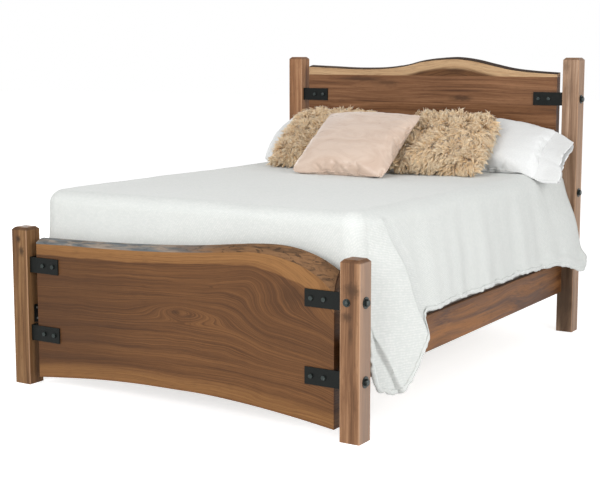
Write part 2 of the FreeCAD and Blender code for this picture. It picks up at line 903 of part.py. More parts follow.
def coverlet_half(side, inset, flare, skin):
    """Nodes and middles of one side of the coverlet's outline, from the head end to the foot's middle."""
    edge_x = mattress_width / 2 + coverlet_side_slack + coverlet_thickness - skin - inset
    edge_y = mattress_length / 2 + coverlet_side_slack + coverlet_thickness - skin - inset
    corner = coverlet_corner - skin - inset
    sweep = min(flare, 1)
    nodes = coverlet_side_nodes(edge_x, edge_y, flare, sweep, corner, skin)
    middles = []
    for number in range(coverlet_side_waves):
        swing = coverlet_side_wave * flare * (1 if number % 2 == 0 else -1)
        middles.append(between(nodes[number], nodes[number + 1], swing))
    middles.append(between(nodes[-3], nodes[-2], -coverlet_side_wave * flare))
    middles.append(between(nodes[-2], nodes[-1], coverlet_side_wave * flare))
    foot_y = -edge_y - coverlet_foot_swing * sweep
    bulge = corner * (1 - math.cos(math.radians(45)))
    middles.append((nodes[-1][0] - bulge, foot_y + bulge))
    nodes.append((nodes[-1][0] - corner, foot_y))
    turn_x = nodes[-1][0]
    for number in range(coverlet_foot_waves):
        x = turn_x * (1 - (number + 1) / coverlet_foot_waves)
        swing = coverlet_foot_wave * sweep * (1 if number % 2 == 0 else -1)
        middles.append(((nodes[-1][0] + x) / 2, foot_y - swing))
        nodes.append((x, foot_y))
    return [(side * x, y) for x, y in nodes], [(side * x, y) for x, y in middles]


def coverlet_wire(height, inset, flare, skin):
    """The coverlet's closed outline at one level."""
    edges = []
    for side in (1, -1):
        nodes, middles = coverlet_half(side, inset, flare, skin)
        points = [Vector(x, y, height) for x, y in nodes]
        bends = [Vector(x, y, height) for x, y in middles]
        half = []
        for number, bend in enumerate(bends):
            if side > 0:
                half.append(arc(points[number], bend, points[number + 1]))
            else:
                half.insert(0, arc(points[number + 1], bend, points[number]))
        edges.extend(half)
    nodes, _ = coverlet_half(1, inset, flare, skin)
    head = Vector(nodes[0][0], nodes[0][1], height)
    edges.append(Part.makeLine(Vector(-head.x, head.y, height), head))
    return Part.Wire(edges)


def coverlet_form(skin):
    """The full form of the coverlet, or with a skin the space that it leaves inside."""
    wires = [coverlet_wire(height, inset, flare, skin) for height, inset, flare in coverlet_levels(skin)]
    form = Part.makeLoft(wires, True, False)
    top = coverlet_wire(coverlet_top - skin, coverlet_edge_radius - skin, 0, skin)
    return form.fuse(Part.makeLoft([wires[-1], top], True, True))


def hem_cutter():
    """All that lies below the hem, seen from the side and drawn across the bed."""
    hem = coverlet_hem_level
    foot = -mattress_length / 2
    head = mattress_length / 2
    reach = half_length + overrun
    fold = foot + coverlet_fold_sweep
    points = [
        (reach, hem - coverlet_head_hem_drop),
        (head - coverlet_corner, hem - coverlet_head_hem_drop),
        (head - coverlet_fold_sweep, hem),
        (fold + coverlet_fold_lead, hem),
        (fold + coverlet_corner, hem - coverlet_fold_tip_drop),
        (fold - coverlet_fold_low_inset, hem - coverlet_fold_low_drop),
        (foot, hem - coverlet_post_hem_drop),
        (-reach, hem - coverlet_post_hem_drop),
        (-reach, -overrun),
        (reach, -overrun),
    ]
    span = half_width + coverlet_head_flare + overrun
    outline = [Vector(-span, y, z) for y, z in points]
    outline.append(outline[0])
    return Part.Face(Part.makePolygon(outline)).extrude(Vector(2 * span, 0, 0))


def coverlet():
    """The coverlet: a thin cloth over the mattress, with soft folds, and swung folds at the foot corners."""
    cloth = coverlet_form(0).cut(coverlet_form(coverlet_thickness))
    half = post_inner_x + rail_thickness + coverlet_rail_room
    reach = half_length + overrun
    over_rails = box(Vector(-half, -reach, -overrun), Vector(half, reach, coverlet_foot_hem_level))
    return cloth.cut(hem_cutter()).cut(over_rails)


# Pillows and cushions

def cushion_outline(width, height, drawn_in, level, crown, sagging):
    """The outline of a cushion at one level of its crown: drawn-in sides at the seam, rounder above.

    sagging is 0, or the side, 1 or -1, whose upper corner sags.
    """
    half_x = width / 2 * crown
    half_y = height / 2 * crown
    smaller = min(half_x, half_y)
    fullness = 1 - crown
    tip = cushion_tip * crown + smaller * fullness * crown_rounding_share
    pull = drawn_in * crown ** 2 - smaller * fullness * crown_bulge_share
    corners = [(1, 1), (-1, 1), (-1, -1), (1, -1)]
    peaks = []
    for sx, sy in corners:
        sags = sx == sagging and sy > 0
        peaks.append(sy * half_y - (pillow_corner_drop * crown if sags else 0))
    edges = []
    for number in range(4):
        sx, sy = corners[number]
        nx, ny = corners[(number + 1) % 4]
        corner_y = peaks[number]
        next_y = peaks[(number + 1) % 4]
        along_x = Vector(sx * (half_x - tip), corner_y, level)
        along_y = Vector(sx * half_x, corner_y - sy * tip, level)
        turn_first, turn_last = (along_y, along_x) if number % 2 == 0 else (along_x, along_y)
        shrink = tip * (1 - math.cos(math.radians(45)))
        peak = Vector(sx * (half_x - shrink), corner_y - sy * shrink, level)
        edges.append(arc(turn_first, peak, turn_last))
        if number % 2 == 0:
            end = Vector(nx * (half_x - tip), next_y, level)
            middle = Vector(0, sy * (half_y - pull), level)
        else:
            end = Vector(nx * half_x, next_y - ny * tip, level)
            middle = Vector(sx * (half_x - pull), (corner_y + next_y) / 2, level)
        edges.append(arc(turn_last, middle, end))
    return Part.Wire(edges)


def crowned(width, height, thickness, drawn_in, sagging=0):
    """A cushion in its own place: seam in the XY plane, crowned on both faces."""
    halves = []
    for way in (1, -1):
        wires = []
        for rise, crown in crown_shares:
            level = way * rise * thickness / 2
            wires.append(cushion_outline(width, height, drawn_in, level, crown, sagging))
        halves.append(Part.makeLoft(wires, True, False))
    return halves[0].fuse(halves[1]).removeSplitter()


def centre_height(height):
    """The middle of a leaning cushion, with its lower edge just over the bed."""
    return cushion_floor + cushion_edge_lift + height / 2 * math.sin(math.radians(lean_angle))


def leaning(solid, x, y, turn, height):
    """Lean a cushion back and stand it on the bed, flat where it rests."""
    lean = FreeCAD.Rotation(Vector(1, 0, 0), lean_angle)
    swing = FreeCAD.Rotation(Vector(0, 0, 1), turn)
    placed = solid.copy()
    placed.Placement = FreeCAD.Placement(Vector(x, y, centre_height(height)), swing.multiply(lean))
    reach = bed_width
    bed = box(Vector(-reach, -reach, 0), Vector(reach, reach, cushion_floor))
    return placed.cut(bed)


def place_in_front(behind_y, behind_height, height, behind_thickness, thickness):
    """The middle of a cushion that leans on the one behind it."""
    lean = math.radians(lean_angle)
    apart = (behind_thickness + thickness) / 2 + cushion_spacing_gap
    rise = centre_height(height) - centre_height(behind_height)
    return behind_y - (apart - rise * math.cos(lean)) / math.sin(lean)


def shag_y():
    """The middle of the shag cushions."""
    return place_in_front(pillow_y, pillow_height, cushion_side, pillow_thickness, shag_thickness)


def satin_y():
    """The middle of the satin cushion."""
    return place_in_front(shag_y(), cushion_side, cushion_side, shag_thickness, satin_thickness)


def soft_pieces():
    """The five pillows and cushions by name."""
    left_pillow = crowned(pillow_width, pillow_height, pillow_thickness, pillow_drawn_in, -1)
    right_pillow = crowned(pillow_width, pillow_height, pillow_thickness, pillow_drawn_in, 1)
    shag = crowned(cushion_side, cushion_side, shag_thickness, cushion_drawn_in)
    satin = crowned(cushion_side, cushion_side, satin_thickness, cushion_drawn_in)
    return {
        "sleeping_pillow_left": leaning(left_pillow, pillow_shift - pillow_x, pillow_y, 0, pillow_height),
        "sleeping_pillow_right": leaning(right_pillow, pillow_shift + pillow_x, pillow_y, 0, pillow_height),
        "shag_cushion_left": leaning(shag, -shag_x, shag_y(), shag_turn, cushion_side),
        "shag_cushion_right": leaning(shag, shag_x, shag_y(), shag_turn, cushion_side),
        "satin_cushion": leaning(satin, satin_x, satin_y(), satin_turn, cushion_side),
    }


def main():
    """Build and save every piece."""
    os.makedirs("parts", exist_ok=True)
    sides = {"left": -1, "right": 1}
    for end in ("foot", "head"):
        for side_name, side in sides.items():
            write(end + "_post_" + side_name, post(end, side))
            write("rail_plate_" + end + "_" + side_name, joint_plate_piece(end, side))
            for level_name, level in bracket_levels(end):
                name = end + "_bracket_" + level_name + "_" + side_name
                write(name, corner_bracket(end, side, level))
        write(end + "_slab_bolts", slab_bolts(end))
        write(end + "_post_bolts", post_bolts(end))
        write(end + "_post_washers", post_washers(end))
        write(end + "_post_nuts", post_nuts(end))
    write("footboard_slab", footboard_slab())
    for name, board in headboard_boards().items():
        write(name, board)
    write("front_bolt", front_bolt())
    write("front_washer", front_washer())
    for side_name, side in sides.items():
        write("side_rail_" + side_name, side_rail(side))
        write("cleat_" + side_name, cleat(side))
    write("rail_plate_screws", all_joint_plate_screws())
    write("cleat_screws", all_cleat_screws())
    for number, y in enumerate(slat_places()):
        write("slat_" + str(number + 1), slat(y))
    write("slat_screws", all_slat_screws())
    write("centre_beam", centre_beam())
    for leg_name, y in leg_places():
        write("centre_leg_" + leg_name, centre_leg(y))
    write("leg_screws", leg_screws())
    write("foundation", foundation())
    write("mattress", mattress())
    write("coverlet", coverlet())
    for name, solid in soft_pieces().items():
        write(name, solid)


main()
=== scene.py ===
import logging
import math
from dataclasses import dataclass, field
from enum import Enum
from typing import Callable, Optional, Sequence

import bmesh
import bpy
import numpy as np
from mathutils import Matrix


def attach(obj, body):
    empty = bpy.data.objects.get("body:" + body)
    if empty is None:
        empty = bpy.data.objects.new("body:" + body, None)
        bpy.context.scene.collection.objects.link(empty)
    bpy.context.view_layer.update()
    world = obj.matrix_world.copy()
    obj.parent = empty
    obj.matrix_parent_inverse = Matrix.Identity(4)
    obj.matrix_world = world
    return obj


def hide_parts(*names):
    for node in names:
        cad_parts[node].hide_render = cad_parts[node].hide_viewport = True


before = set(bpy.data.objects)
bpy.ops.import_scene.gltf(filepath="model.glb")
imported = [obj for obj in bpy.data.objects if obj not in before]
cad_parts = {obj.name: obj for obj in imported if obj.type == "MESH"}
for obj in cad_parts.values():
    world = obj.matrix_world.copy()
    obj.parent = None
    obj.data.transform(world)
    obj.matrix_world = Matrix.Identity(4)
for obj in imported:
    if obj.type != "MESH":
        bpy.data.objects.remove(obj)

Array = np.ndarray
Colour = tuple[float, float, float]
Place = tuple[float, float, float]
Table = tuple[tuple[float, ...], ...]
Rings = Callable[[Array, Array, Array, Array], Array]
Piece = bpy.types.Object
Material = bpy.types.Material
Socket = bpy.types.NodeSocket

TOUCHING = 0.00001  # points nearer than this are one point
ROUND = 80.0  # an edge of a round cord that turns less than this is smooth

log = logging.getLogger("bed")


class Axis(Enum):
    """The way that the grain of a piece of wood runs."""

    ACROSS = 0
    ALONG = 1
    UPRIGHT = 2


# Numbers and surfaces


def ease(value: Array) -> Array:
    """Rise smoothly from 0 to 1: the value is kept within 0 and 1, then 3 v squared less 2 v cubed.

    Args:
        value: where to ask.

    Returns:
        The eased values.
    """
    kept = np.clip(value, 0.0, 1.0)
    return kept * kept * (3.0 - 2.0 * kept)


def hill(value: Array, centre: float, reach: float) -> Array:
    """A bell: e to the power of minus the squared distance from the centre over the reach.

    Args:
        value: where to ask.
        centre: where the bell is 1.
        reach: how far out it falls to about a third.

    Returns:
        The bell's heights.
    """
    return np.exp(-(((value - centre) / reach) ** 2))


def through(places: Sequence[float], heights: Sequence[float], at: Array) -> Array:
    """A smooth curve through points: cubic pieces whose slope at each point is that of its two neighbours.

    Args:
        places: rising places of the points.
        heights: the points' heights.
        at: where to ask.

    Returns:
        The curve's heights.
    """
    x = np.asarray(places, float)
    y = np.asarray(heights, float)
    slope = np.gradient(y, x)
    spot = np.clip(np.searchsorted(x, at) - 1, 0, len(x) - 2)
    width = x[spot + 1] - x[spot]
    t = (np.asarray(at, float) - x[spot]) / width
    start = (2 * t**3 - 3 * t**2 + 1) * y[spot] + (t**3 - 2 * t**2 + t) * width * slope[spot]
    end = (3 * t**2 - 2 * t**3) * y[spot + 1] + (t**3 - t**2) * width * slope[spot + 1]
    return start + end


def along_table(table: Sequence[Sequence[float]], at: Array) -> Array:
    """The smooth curve through a table's rows, each a place and a height."""
    places, heights = zip(*table)
    return through(places, heights, at)


def rolling(points: Array, seed: int, size: float, waves: int = 14) -> Array:
    """Soft unevenness: a sum of sine waves in seeded directions, of about one size, scaled to about -1 to 1.

    Args:
        points: places, with their coordinates in the last axis.
        seed: which unevenness.
        size: the usual length of a wave, in metres.
        waves: how many waves are added.

    Returns:
        One value for each place.
    """
    dice = np.random.default_rng(seed)
    ways = dice.normal(size=(waves, points.shape[-1]))
    ways /= np.linalg.norm(ways, axis=1, keepdims=True)
    ways *= (2 * math.pi / size) * dice.uniform(0.55, 1.6, size=(waves, 1))
    phases = dice.uniform(0, 2 * math.pi, size=waves)
    return np.sin(points @ ways.T + phases).sum(-1) / math.sqrt(waves)


def grid_faces(rows: int, columns: int, closed: bool) -> Array:
    """The four-cornered faces of a grid of points, counted along its rows.

    Args:
        rows: number of rows.
        columns: number of points in a row.
        closed: whether the last point of a row joins the first.

    Returns:
        One line of four point numbers for each face.
    """
    row = np.arange(rows - 1)[:, None]
    column = np.arange(columns if closed else columns - 1)[None, :]
    after = (column + 1) % columns
    this, above = row * columns, (row + 1) * columns
    corners = [this + column, this + after, above + after, above + column]
    return np.stack(np.broadcast_arrays(*corners), -1).reshape(-1, 4)


def stack_faces(rows: int, columns: int) -> list[Array]:
    """The faces of a stack of closed rings, with one face over each end.

    Args:
        rows: number of rings.
        columns: number of points in a ring.

    Returns:
        The sides, the first end and the last end.
    """
    ring = np.arange(columns)[None, :]
    return [grid_faces(rows, columns, True), ring[:, ::-1], ring + (rows - 1) * columns]


def make_piece(name: str, points: Array, faces: Sequence[Array], sharp_degrees: float = 40.0) -> Piece:
    """Make a mesh piece at the origin, smooth but for its sharp edges.

    Args:
        name: the piece's name.
        points: its points, one line each.
        faces: arrays of faces, each array with one number of corners.
        sharp_degrees: an edge with a wider turn than this stays sharp.

    Returns:
        The new piece.
    """
    mesh = bpy.data.meshes.new(name)
    listed = [face for group in faces for face in np.asarray(group).tolist()]
    mesh.from_pydata(np.asarray(points, float).reshape(-1, 3).tolist(), [], listed)
    mesh.validate()
    mesh.polygons.foreach_set("use_smooth", np.ones(len(mesh.polygons), bool))
    mesh.set_sharp_from_angle(angle=math.radians(sharp_degrees))
    mesh.update()
    piece = bpy.data.objects.new(name, mesh)
    bpy.context.scene.collection.objects.link(piece)
    return piece


def keep(piece: Piece, name: str, values: Array, each: int = 1) -> None:
    """Keep one number or three for each point of a piece, for its material to read.

    Args:
        piece: the piece.
        name: the attribute's name.
        values: the numbers, in the order of the points.
        each: how many numbers a point has.
    """
    kind, entry = {1: ("FLOAT", "value"), 3: ("FLOAT_VECTOR", "vector")}[each]
    layer = piece.data.attributes.new(name, kind, "POINT")
    layer.data.foreach_set(entry, np.asarray(values, np.float32).ravel())


def merge_doubles(piece: Piece, distance: float) -> None:
    """Join points that lie together, and turn all faces outwards.

    Args:
        piece: the piece.
        distance: points nearer than this become one.
    """
    work = bmesh.new()
    work.from_mesh(piece.data)
    bmesh.ops.remove_doubles(work, verts=work.verts, dist=distance)
    bmesh.ops.recalc_face_normals(work, faces=work.faces)
    work.to_mesh(piece.data)
    work.free()
    piece.data.update()


def tube_points(path: Array, section: Array, closed: bool) -> Array:
    """Carry a section along a path: each ring lies square to the path, with up kept as near +Z as it can be.

    Args:
        path: the path's points, one line each.
        section: a ring of places for each point of the path, to the side and up.
        closed: whether the path is a loop.

    Returns:
        An array of rings of points.
    """
    ahead = np.roll(path, -1, 0) - np.roll(path, 1, 0)
    if not closed:
        ahead[0] = path[1] - path[0]
        ahead[-1] = path[-1] - path[-2]
    ahead /= np.linalg.norm(ahead, axis=1, keepdims=True)
    side = np.cross(ahead, np.array([0.0, 0.0, 1.0]))
    side /= np.maximum(np.linalg.norm(side, axis=1, keepdims=True), 1e-9)
    up = np.cross(side, ahead)
    return path[:, None, :] + section[..., 0:1] * side[:, None, :] + section[..., 1:2] * up[:, None, :]


def circle(count: int) -> Array:
    """Points on a circle of radius 1, one line each."""
    turn = np.linspace(0, 2 * math.pi, count + 1)[:-1]
    return np.stack([np.cos(turn), np.sin(turn)], -1)


def make_cord(name: str, path: Array, radius: float, sides: int) -> Piece:
    """Make a round cord along a closed path.

    Args:
        name: the cord's name.
        path: the path's points, one line each.
        radius: half the cord's thickness.
        sides: points round the cord.

    Returns:
        The cord.
    """
    section = np.broadcast_to(circle(sides) * radius, (len(path), sides, 2))
    faces = grid_faces(len(path) + 1, sides, True) % (len(path) * sides)
    cord = make_piece(name, tube_points(path, section, True), [faces], sharp_degrees=ROUND)
    merge_doubles(cord, TOUCHING)
    return cord


# Finishes


def srgb(red: int, green: int, blue: int) -> Colour:
    """A screen colour as the light it stands for: shares above 0.04 go to the power 2.4, as usual.

    Args:
        red: 0 to 255.
        green: 0 to 255.
        blue: 0 to 255.

    Returns:
        Three shares of light.
    """
    shares = [value / 255 for value in (red, green, blue)]
    return tuple(s / 12.92 if s <= 0.04045 else ((s + 0.055) / 1.055) ** 2.4 for s in shares)


@dataclass(frozen=True)
class DarkPatch:
    """A dark patch, in most places a knot or smudge in the wood and in one place painted shade: its middle
    and how far it reaches along each axis, in metres.
    """

    centre: Place
    reach: Place
    depth: float = 0.8


class Nodes:
    """A node tree while it is put together."""

    def __init__(self, tree: bpy.types.NodeTree) -> None:
        """Take a tree in hand."""
        self.tree = tree

    def put(self, target: Socket, source: object) -> None:
        """Link a socket to another, or set it to a number, colour or vector.

        Args:
            target: the socket to fill.
            source: what fills it.
        """
        if isinstance(source, Socket):
            self.tree.links.new(source, target)
        elif isinstance(source, (tuple, list)) and len(source) == 3 and target.type == "RGBA":
            target.default_value = (*source, 1.0)
        else:
            target.default_value = source

    def new(self, kind: str) -> bpy.types.Node:
        """A new node of a kind, whose name leaves out the ShaderNode that all of them start with."""
        return self.tree.nodes.new(f"ShaderNode{kind}")

    def fill(self, node: bpy.types.Node, inputs: dict[object, object]) -> bpy.types.bpy_prop_collection:
        """Fill some of a node's inputs.

        Args:
            node: the node.
            inputs: what fills each input, by the input's name or number.

        Returns:
            The node's outputs.
        """
        for place, value in inputs.items():
            self.put(node.inputs[place], value)
        return node.outputs

    def sum(self, kind: str, first: object, second: object = 0.0, third: object = 0.0) -> Socket:
        """One step of arithmetic.

        Args:
            kind: the step, as the Math node names it.
            first: the first number or socket.
            second: the second one.
            third: the third one.

        Returns:
            The result.
        """
        node = self.new("Math")
        node.operation = kind
        return self.fill(node, {0: first, 1: second, 2: third})[0]

    def in_sight(self) -> Socket:
        """1 where the camera looks at a place straight, in a mirror or through glass, and else 0.

        Returns:
            The node's output.
        """
        ray = self.new("LightPath").outputs
        seen = self.sum("MAXIMUM", ray["Is Camera Ray"], ray["Is Glossy Ray"])
        return self.sum("MAXIMUM", seen, ray["Is Transmission Ray"])


class Mixer(Nodes):
    """The nodes of one material."""

    def __init__(self, name: str) -> None:
        """Start a material with one shader.

        Args:
            name: the material's name.
        """
        self.material = bpy.data.materials.new(name)
        self.material.use_nodes = True
        super().__init__(self.material.node_tree)
        self.tree.nodes.clear()
        self.output = self.new("OutputMaterial")
        self.shader = self.new("BsdfPrincipled")
        self.put(self.output.inputs[0], self.shader.outputs[0])

    def place(self) -> Socket:
        """The place on the object, in metres."""
        return self.new("TexCoord").outputs["Object"]

    def parts(self, vector: Socket) -> bpy.types.bpy_prop_collection:
        """The X, Y and Z of a place."""
        return self.fill(self.new("SeparateXYZ"), {0: vector})

    def kept(self, name: str, as_vector: bool = False) -> Socket:
        """What a piece keeps at each point under a name.

        Args:
            name: the attribute's name.
            as_vector: whether three numbers are wanted.

        Returns:
            The socket that gives it.
        """
        node = self.new("Attribute")
        node.attribute_name = name
        return node.outputs["Vector" if as_vector else "Fac"]

    def stretch(self, vector: Socket, scale: Sequence[float], shift: Sequence[float] = (0, 0, 0),
                turn: Sequence[float] = (0, 0, 0)) -> Socket:
        """Stretch, turn and shift a place.

        Args:
            vector: the place.
            scale: how much each axis is multiplied.
            shift: what is added afterwards.
            turn: turns about each axis, in radians.

        Returns:
            The new place.
        """
        inputs = {"Vector": vector, "Scale": tuple(scale), "Location": tuple(shift), "Rotation": tuple(turn)}
        return self.fill(self.new("Mapping"), inputs)[0]

    def noise(self, vector: Socket, scale: float | Place, detail: float, rough: float,
              bend: float = 0.0) -> Socket:
        """Cloudy noise.

        Args:
            vector: the place.
            scale: clouds to the metre, or three such numbers where the clouds are drawn out along an axis.
            detail: how many finer layers it has.
            rough: how strong the finer layers are.
            bend: how much it is stirred.

        Returns:
            A value that is mostly within 0 and 1.
        """
        if isinstance(scale, tuple):
            vector, scale = self.stretch(vector, scale), 1.0
        inputs = {"Vector": vector, "Scale": scale, "Detail": detail, "Roughness": rough, "Distortion": bend}
        return self.fill(self.new("TexNoise"), inputs)["Fac"]

    def cells(self, vector: Socket, scale: float) -> Socket:
        """Distance from the nearest of many scattered points.

        Args:
            vector: the place.
            scale: points to the metre.

        Returns:
            The distance, in units of the cells.
        """
        return self.fill(self.new("TexVoronoi"), {"Vector": vector, "Scale": scale})["Distance"]

    def bands(self, vector: Socket, scale: float, bend: float, detail: float = 2.0) -> Socket:
        """Soft bands square to X.

        Args:
            vector: the place.
            scale: how close the bands are.
            bend: how much they wander.
            detail: finer layers of the wandering.

        Returns:
            A value from 0 to 1.
        """
        inputs = {"Vector": vector, "Scale": scale, "Distortion": bend, "Detail": detail}
        return self.fill(self.new("TexWave"), inputs)["Fac"]

    def weighed(self, *parts: tuple[Socket, float]) -> Socket:
        """Add up values, each times its weight.

        Args:
            parts: pairs of a value and its weight.

        Returns:
            The total.
        """
        total = 0.0
        for value, weight in parts:
            total = self.sum("MULTIPLY_ADD", value, weight, total)
        return total

    def spread(self, value: Socket, low: float, high: float, to_low: float = 0.0,
               to_high: float = 1.0) -> Socket:
        """Stretch a range of values to another, with eased ends.

        Args:
            value: what is stretched.
            low: the value that gives to_low.
            high: the value that gives to_high.
            to_low: the result at and below low.
            to_high: the result at and above high.

        Returns:
            The stretched value.
        """
        node = self.new("MapRange")
        node.interpolation_type = "SMOOTHSTEP"
        return self.fill(node, {0: value, 1: low, 2: high, 3: to_low, 4: to_high})[0]

    def between(self, clouds: Socket, low: float, high: float) -> Socket:
        """Let a number wander with the clouds of a noise.

        Args:
            clouds: the noise.
            low: the number where the noise is thin.
            high: the number where it is thick.

        Returns:
            The number.
        """
        return self.spread(clouds, 0.3, 0.7, low, high)

    def ramp(self, value: Socket, stops: Sequence[tuple[float, Colour]]) -> Socket:
        """Colours along a value.

        Args:
            value: from 0 to 1.
            stops: places and their colours.

        Returns:
            The colour.
        """
        node = self.new("ValToRGB")
        marks = node.color_ramp.elements
        while len(marks) < len(stops):
            marks.new(0.5)
        for mark, (spot, colour) in zip(marks, stops):
            mark.position = spot
            mark.color = (*colour, 1.0)
        return self.fill(node, {0: value})[0]

    def blend(self, share: object, first: object, second: object, kind: str = "MIX") -> Socket:
        """Mix two colours.

        Args:
            share: how much of the second there is.
            first: a colour.
            second: a colour.
            kind: how they mix.

        Returns:
            The mixed colour.
        """
        node = self.new("Mix")
        node.data_type = "RGBA"
        node.blend_type = kind
        factor, colour_a, colour_b, result = 0, 6, 7, 2
        return self.fill(node, {factor: share, colour_a: first, colour_b: second})[result]

    def smudge(self, patch: DarkPatch) -> Socket:
        """How much of a dark patch's colour shows: an uneven oval that fades out.

        Args:
            patch: the dark patch.

        Returns:
            A share from 0 to 1.
        """
        scale = tuple(1 / r for r in patch.reach)
        shift = tuple(-c / r for c, r in zip(patch.centre, patch.reach))
        near = self.stretch(self.place(), scale, shift)
        node = self.new("VectorMath")
        node.operation = "LENGTH"
        length = self.fill(node, {0: near})["Value"]
        ragged = self.noise(near, 1.6, 4.0, 0.6, 0.8)
        away = self.sum("ADD", length, self.sum("MULTIPLY_ADD", ragged, 1.4, -0.7))
        return self.spread(away, 0.15, 1.15, patch.depth, 0.0)

    def flow(self, vector: Socket, scale: Sequence[float], amount: float) -> Socket:
        """Stir a place: broad noise is added to each of its coordinates.

        Args:
            vector: the place.
            scale: how close the noise is along each axis.
            amount: how far the place is moved.

        Returns:
            The stirred place.
        """
        inputs = {"Vector": self.stretch(vector, scale), "Scale": 1.0, "Detail": 1.0}
        broad = self.fill(self.new("TexNoise"), inputs)
        node = self.new("VectorMath")
        node.operation = "MULTIPLY_ADD"
        return self.fill(node, {0: broad["Color"], 1: (amount, amount, amount), 2: vector})[0]

    def relief(self, height: Socket, strength: float, depth: float, under: Optional[Socket] = None) -> Socket:
        """Fine relief in the surface.

        Args:
            height: how high each place stands, from 0 to 1.
            strength: how much it shows.
            depth: its real depth, in metres.
            under: a coarser relief that this one lies on.

        Returns:
            The surface's new facing.
        """
        inputs = {"Strength": strength, "Distance": depth, "Height": height}
        if under is not None:
            inputs["Normal"] = under
        return self.fill(self.new("Bump"), inputs)[0]

    def finish(self, **sockets: object) -> Material:
        """Set the shader's sockets and give the material.

        Args:
            sockets: values by socket name, with _ for a space.

        Returns:
            The material.
        """
        for name, value in sockets.items():
            self.put(self.shader.inputs[name.replace("_", " ")], value)
        return self.material


@dataclass(frozen=True)
class Walnut:
    """Oiled walnut, with straight grain along one axis and a few dark patches, in most places knots and on
    one post painted shade; on posts, a painted highlight runs down the arrises and a painted sheen lies on
    the outer face.
    """

    name: str
    grain: Axis
    dark: Colour = srgb(60, 35, 19)
    middle: Colour = srgb(106, 69, 41)
    light: Colour = srgb(146, 102, 65)
    shift: Place = (0.0, 0.0, 0.0)
    dark_patches: tuple[DarkPatch, ...] = ()
    figure: float = 1.0
    wander: float = 0.05
    post: Optional[Place] = None
    # share of painted sheen on a post's outer face; 0 leaves that face as the wood is
    pale_face: float = 0.42

    def stretched(self, along: float, across: float) -> Place:
        """Scales that draw a pattern out along the grain.

        Args:
            along: scale along the grain.
            across: scale across it.

        Returns:
            One scale for each axis.
        """
        scales = [across, across, across]
        scales[self.grain.value] = along
        return tuple(scales)

    def make(self) -> Material:
        """Mix streaks, growth bands and pores that run along the grain and wander a little.

        Returns:
            The finished material.
        """
        mix = Mixer(self.name)
        place = mix.stretch(mix.place(), (1, 1, 1), self.shift)
        place = mix.flow(place, self.stretched(1.6, 5.0), self.wander)
        streaks = mix.noise(place, self.stretched(1.0, 40), 5.0, 0.62, 0.4)
        bands = mix.noise(place, self.stretched(0.7, 11), 2.0, 0.5, 1.0)
        lines = mix.noise(place, self.stretched(1.6, 170), 3.0, 0.6)
        tone = mix.weighed((bands, 0.38 * self.figure), (streaks, 0.5), (lines, 0.3))
        stops = [(0.0, self.dark), (0.42, self.middle), (1.0, self.light)]
        colour = mix.ramp(mix.spread(tone, 0.36, 0.84), stops)
        for patch in self.dark_patches:
            colour = mix.blend(mix.smudge(patch), colour, tuple(0.22 * c for c in self.middle))
        pores = mix.noise(place, self.stretched(26, 620), 2.0, 0.5)
        colour = mix.blend(mix.spread(pores, 0.56, 0.70, 0.0, 0.45), colour, self.dark)
        if self.post:
            colour = self.painted_light_and_chamfer(mix, colour)
        facing = mix.relief(pores, 0.25, 0.0006)
        facing = mix.relief(lines, 0.18, 0.0008, facing)
        return mix.finish(Base_Color=colour, Roughness=mix.between(streaks, 0.42, 0.56), Normal=facing,
                          Specular_IOR_Level=0.2)

    def painted_light_and_chamfer(self, mix: Mixer, colour: Socket) -> Socket:
        """Paint a highlight down a post's arrises and a sheen on its outer face, and darken the end grain of
        its top chamfer.

        Args:
            mix: the material in hand.
            colour: the wood's colour.

        Returns:
            The colour with both.
        """
        x, y, top = self.post
        place = mix.parts(mix.place())
        out = mix.sum("SUBTRACT", place["X"], x)
        outward = mix.sum("MULTIPLY", out, math.copysign(1.0, x))
        inside, face = 0.0395, 0.0412
        # painted sheen: the post's outer face is made paler
        sapwood_and_sheen = mix.spread(outward, inside, face, 0.0, self.pale_face)
        colour = mix.blend(sapwood_and_sheen, colour, srgb(172, 150, 134))
        aside = mix.sum("ABSOLUTE", out)
        along = mix.sum("ABSOLUTE", mix.sum("SUBTRACT", place["Y"], y))
        # painted highlight: a paler line down each vertical arris of the post
        beside, rounded = 0.0365, 0.0400
        arris = mix.spread(mix.sum("MINIMUM", aside, along), beside, rounded, 0.0, 0.5)
        colour = mix.blend(arris, colour, srgb(178, 142, 112))
        above_foot = mix.spread(place["Z"], top - 0.0125, top - 0.0110)
        below_top = mix.spread(place["Z"], top - 0.0012, top - 0.0004, 0.6, 0.0)
        return mix.blend(mix.sum("MULTIPLY", above_foot, below_top), colour, self.dark)


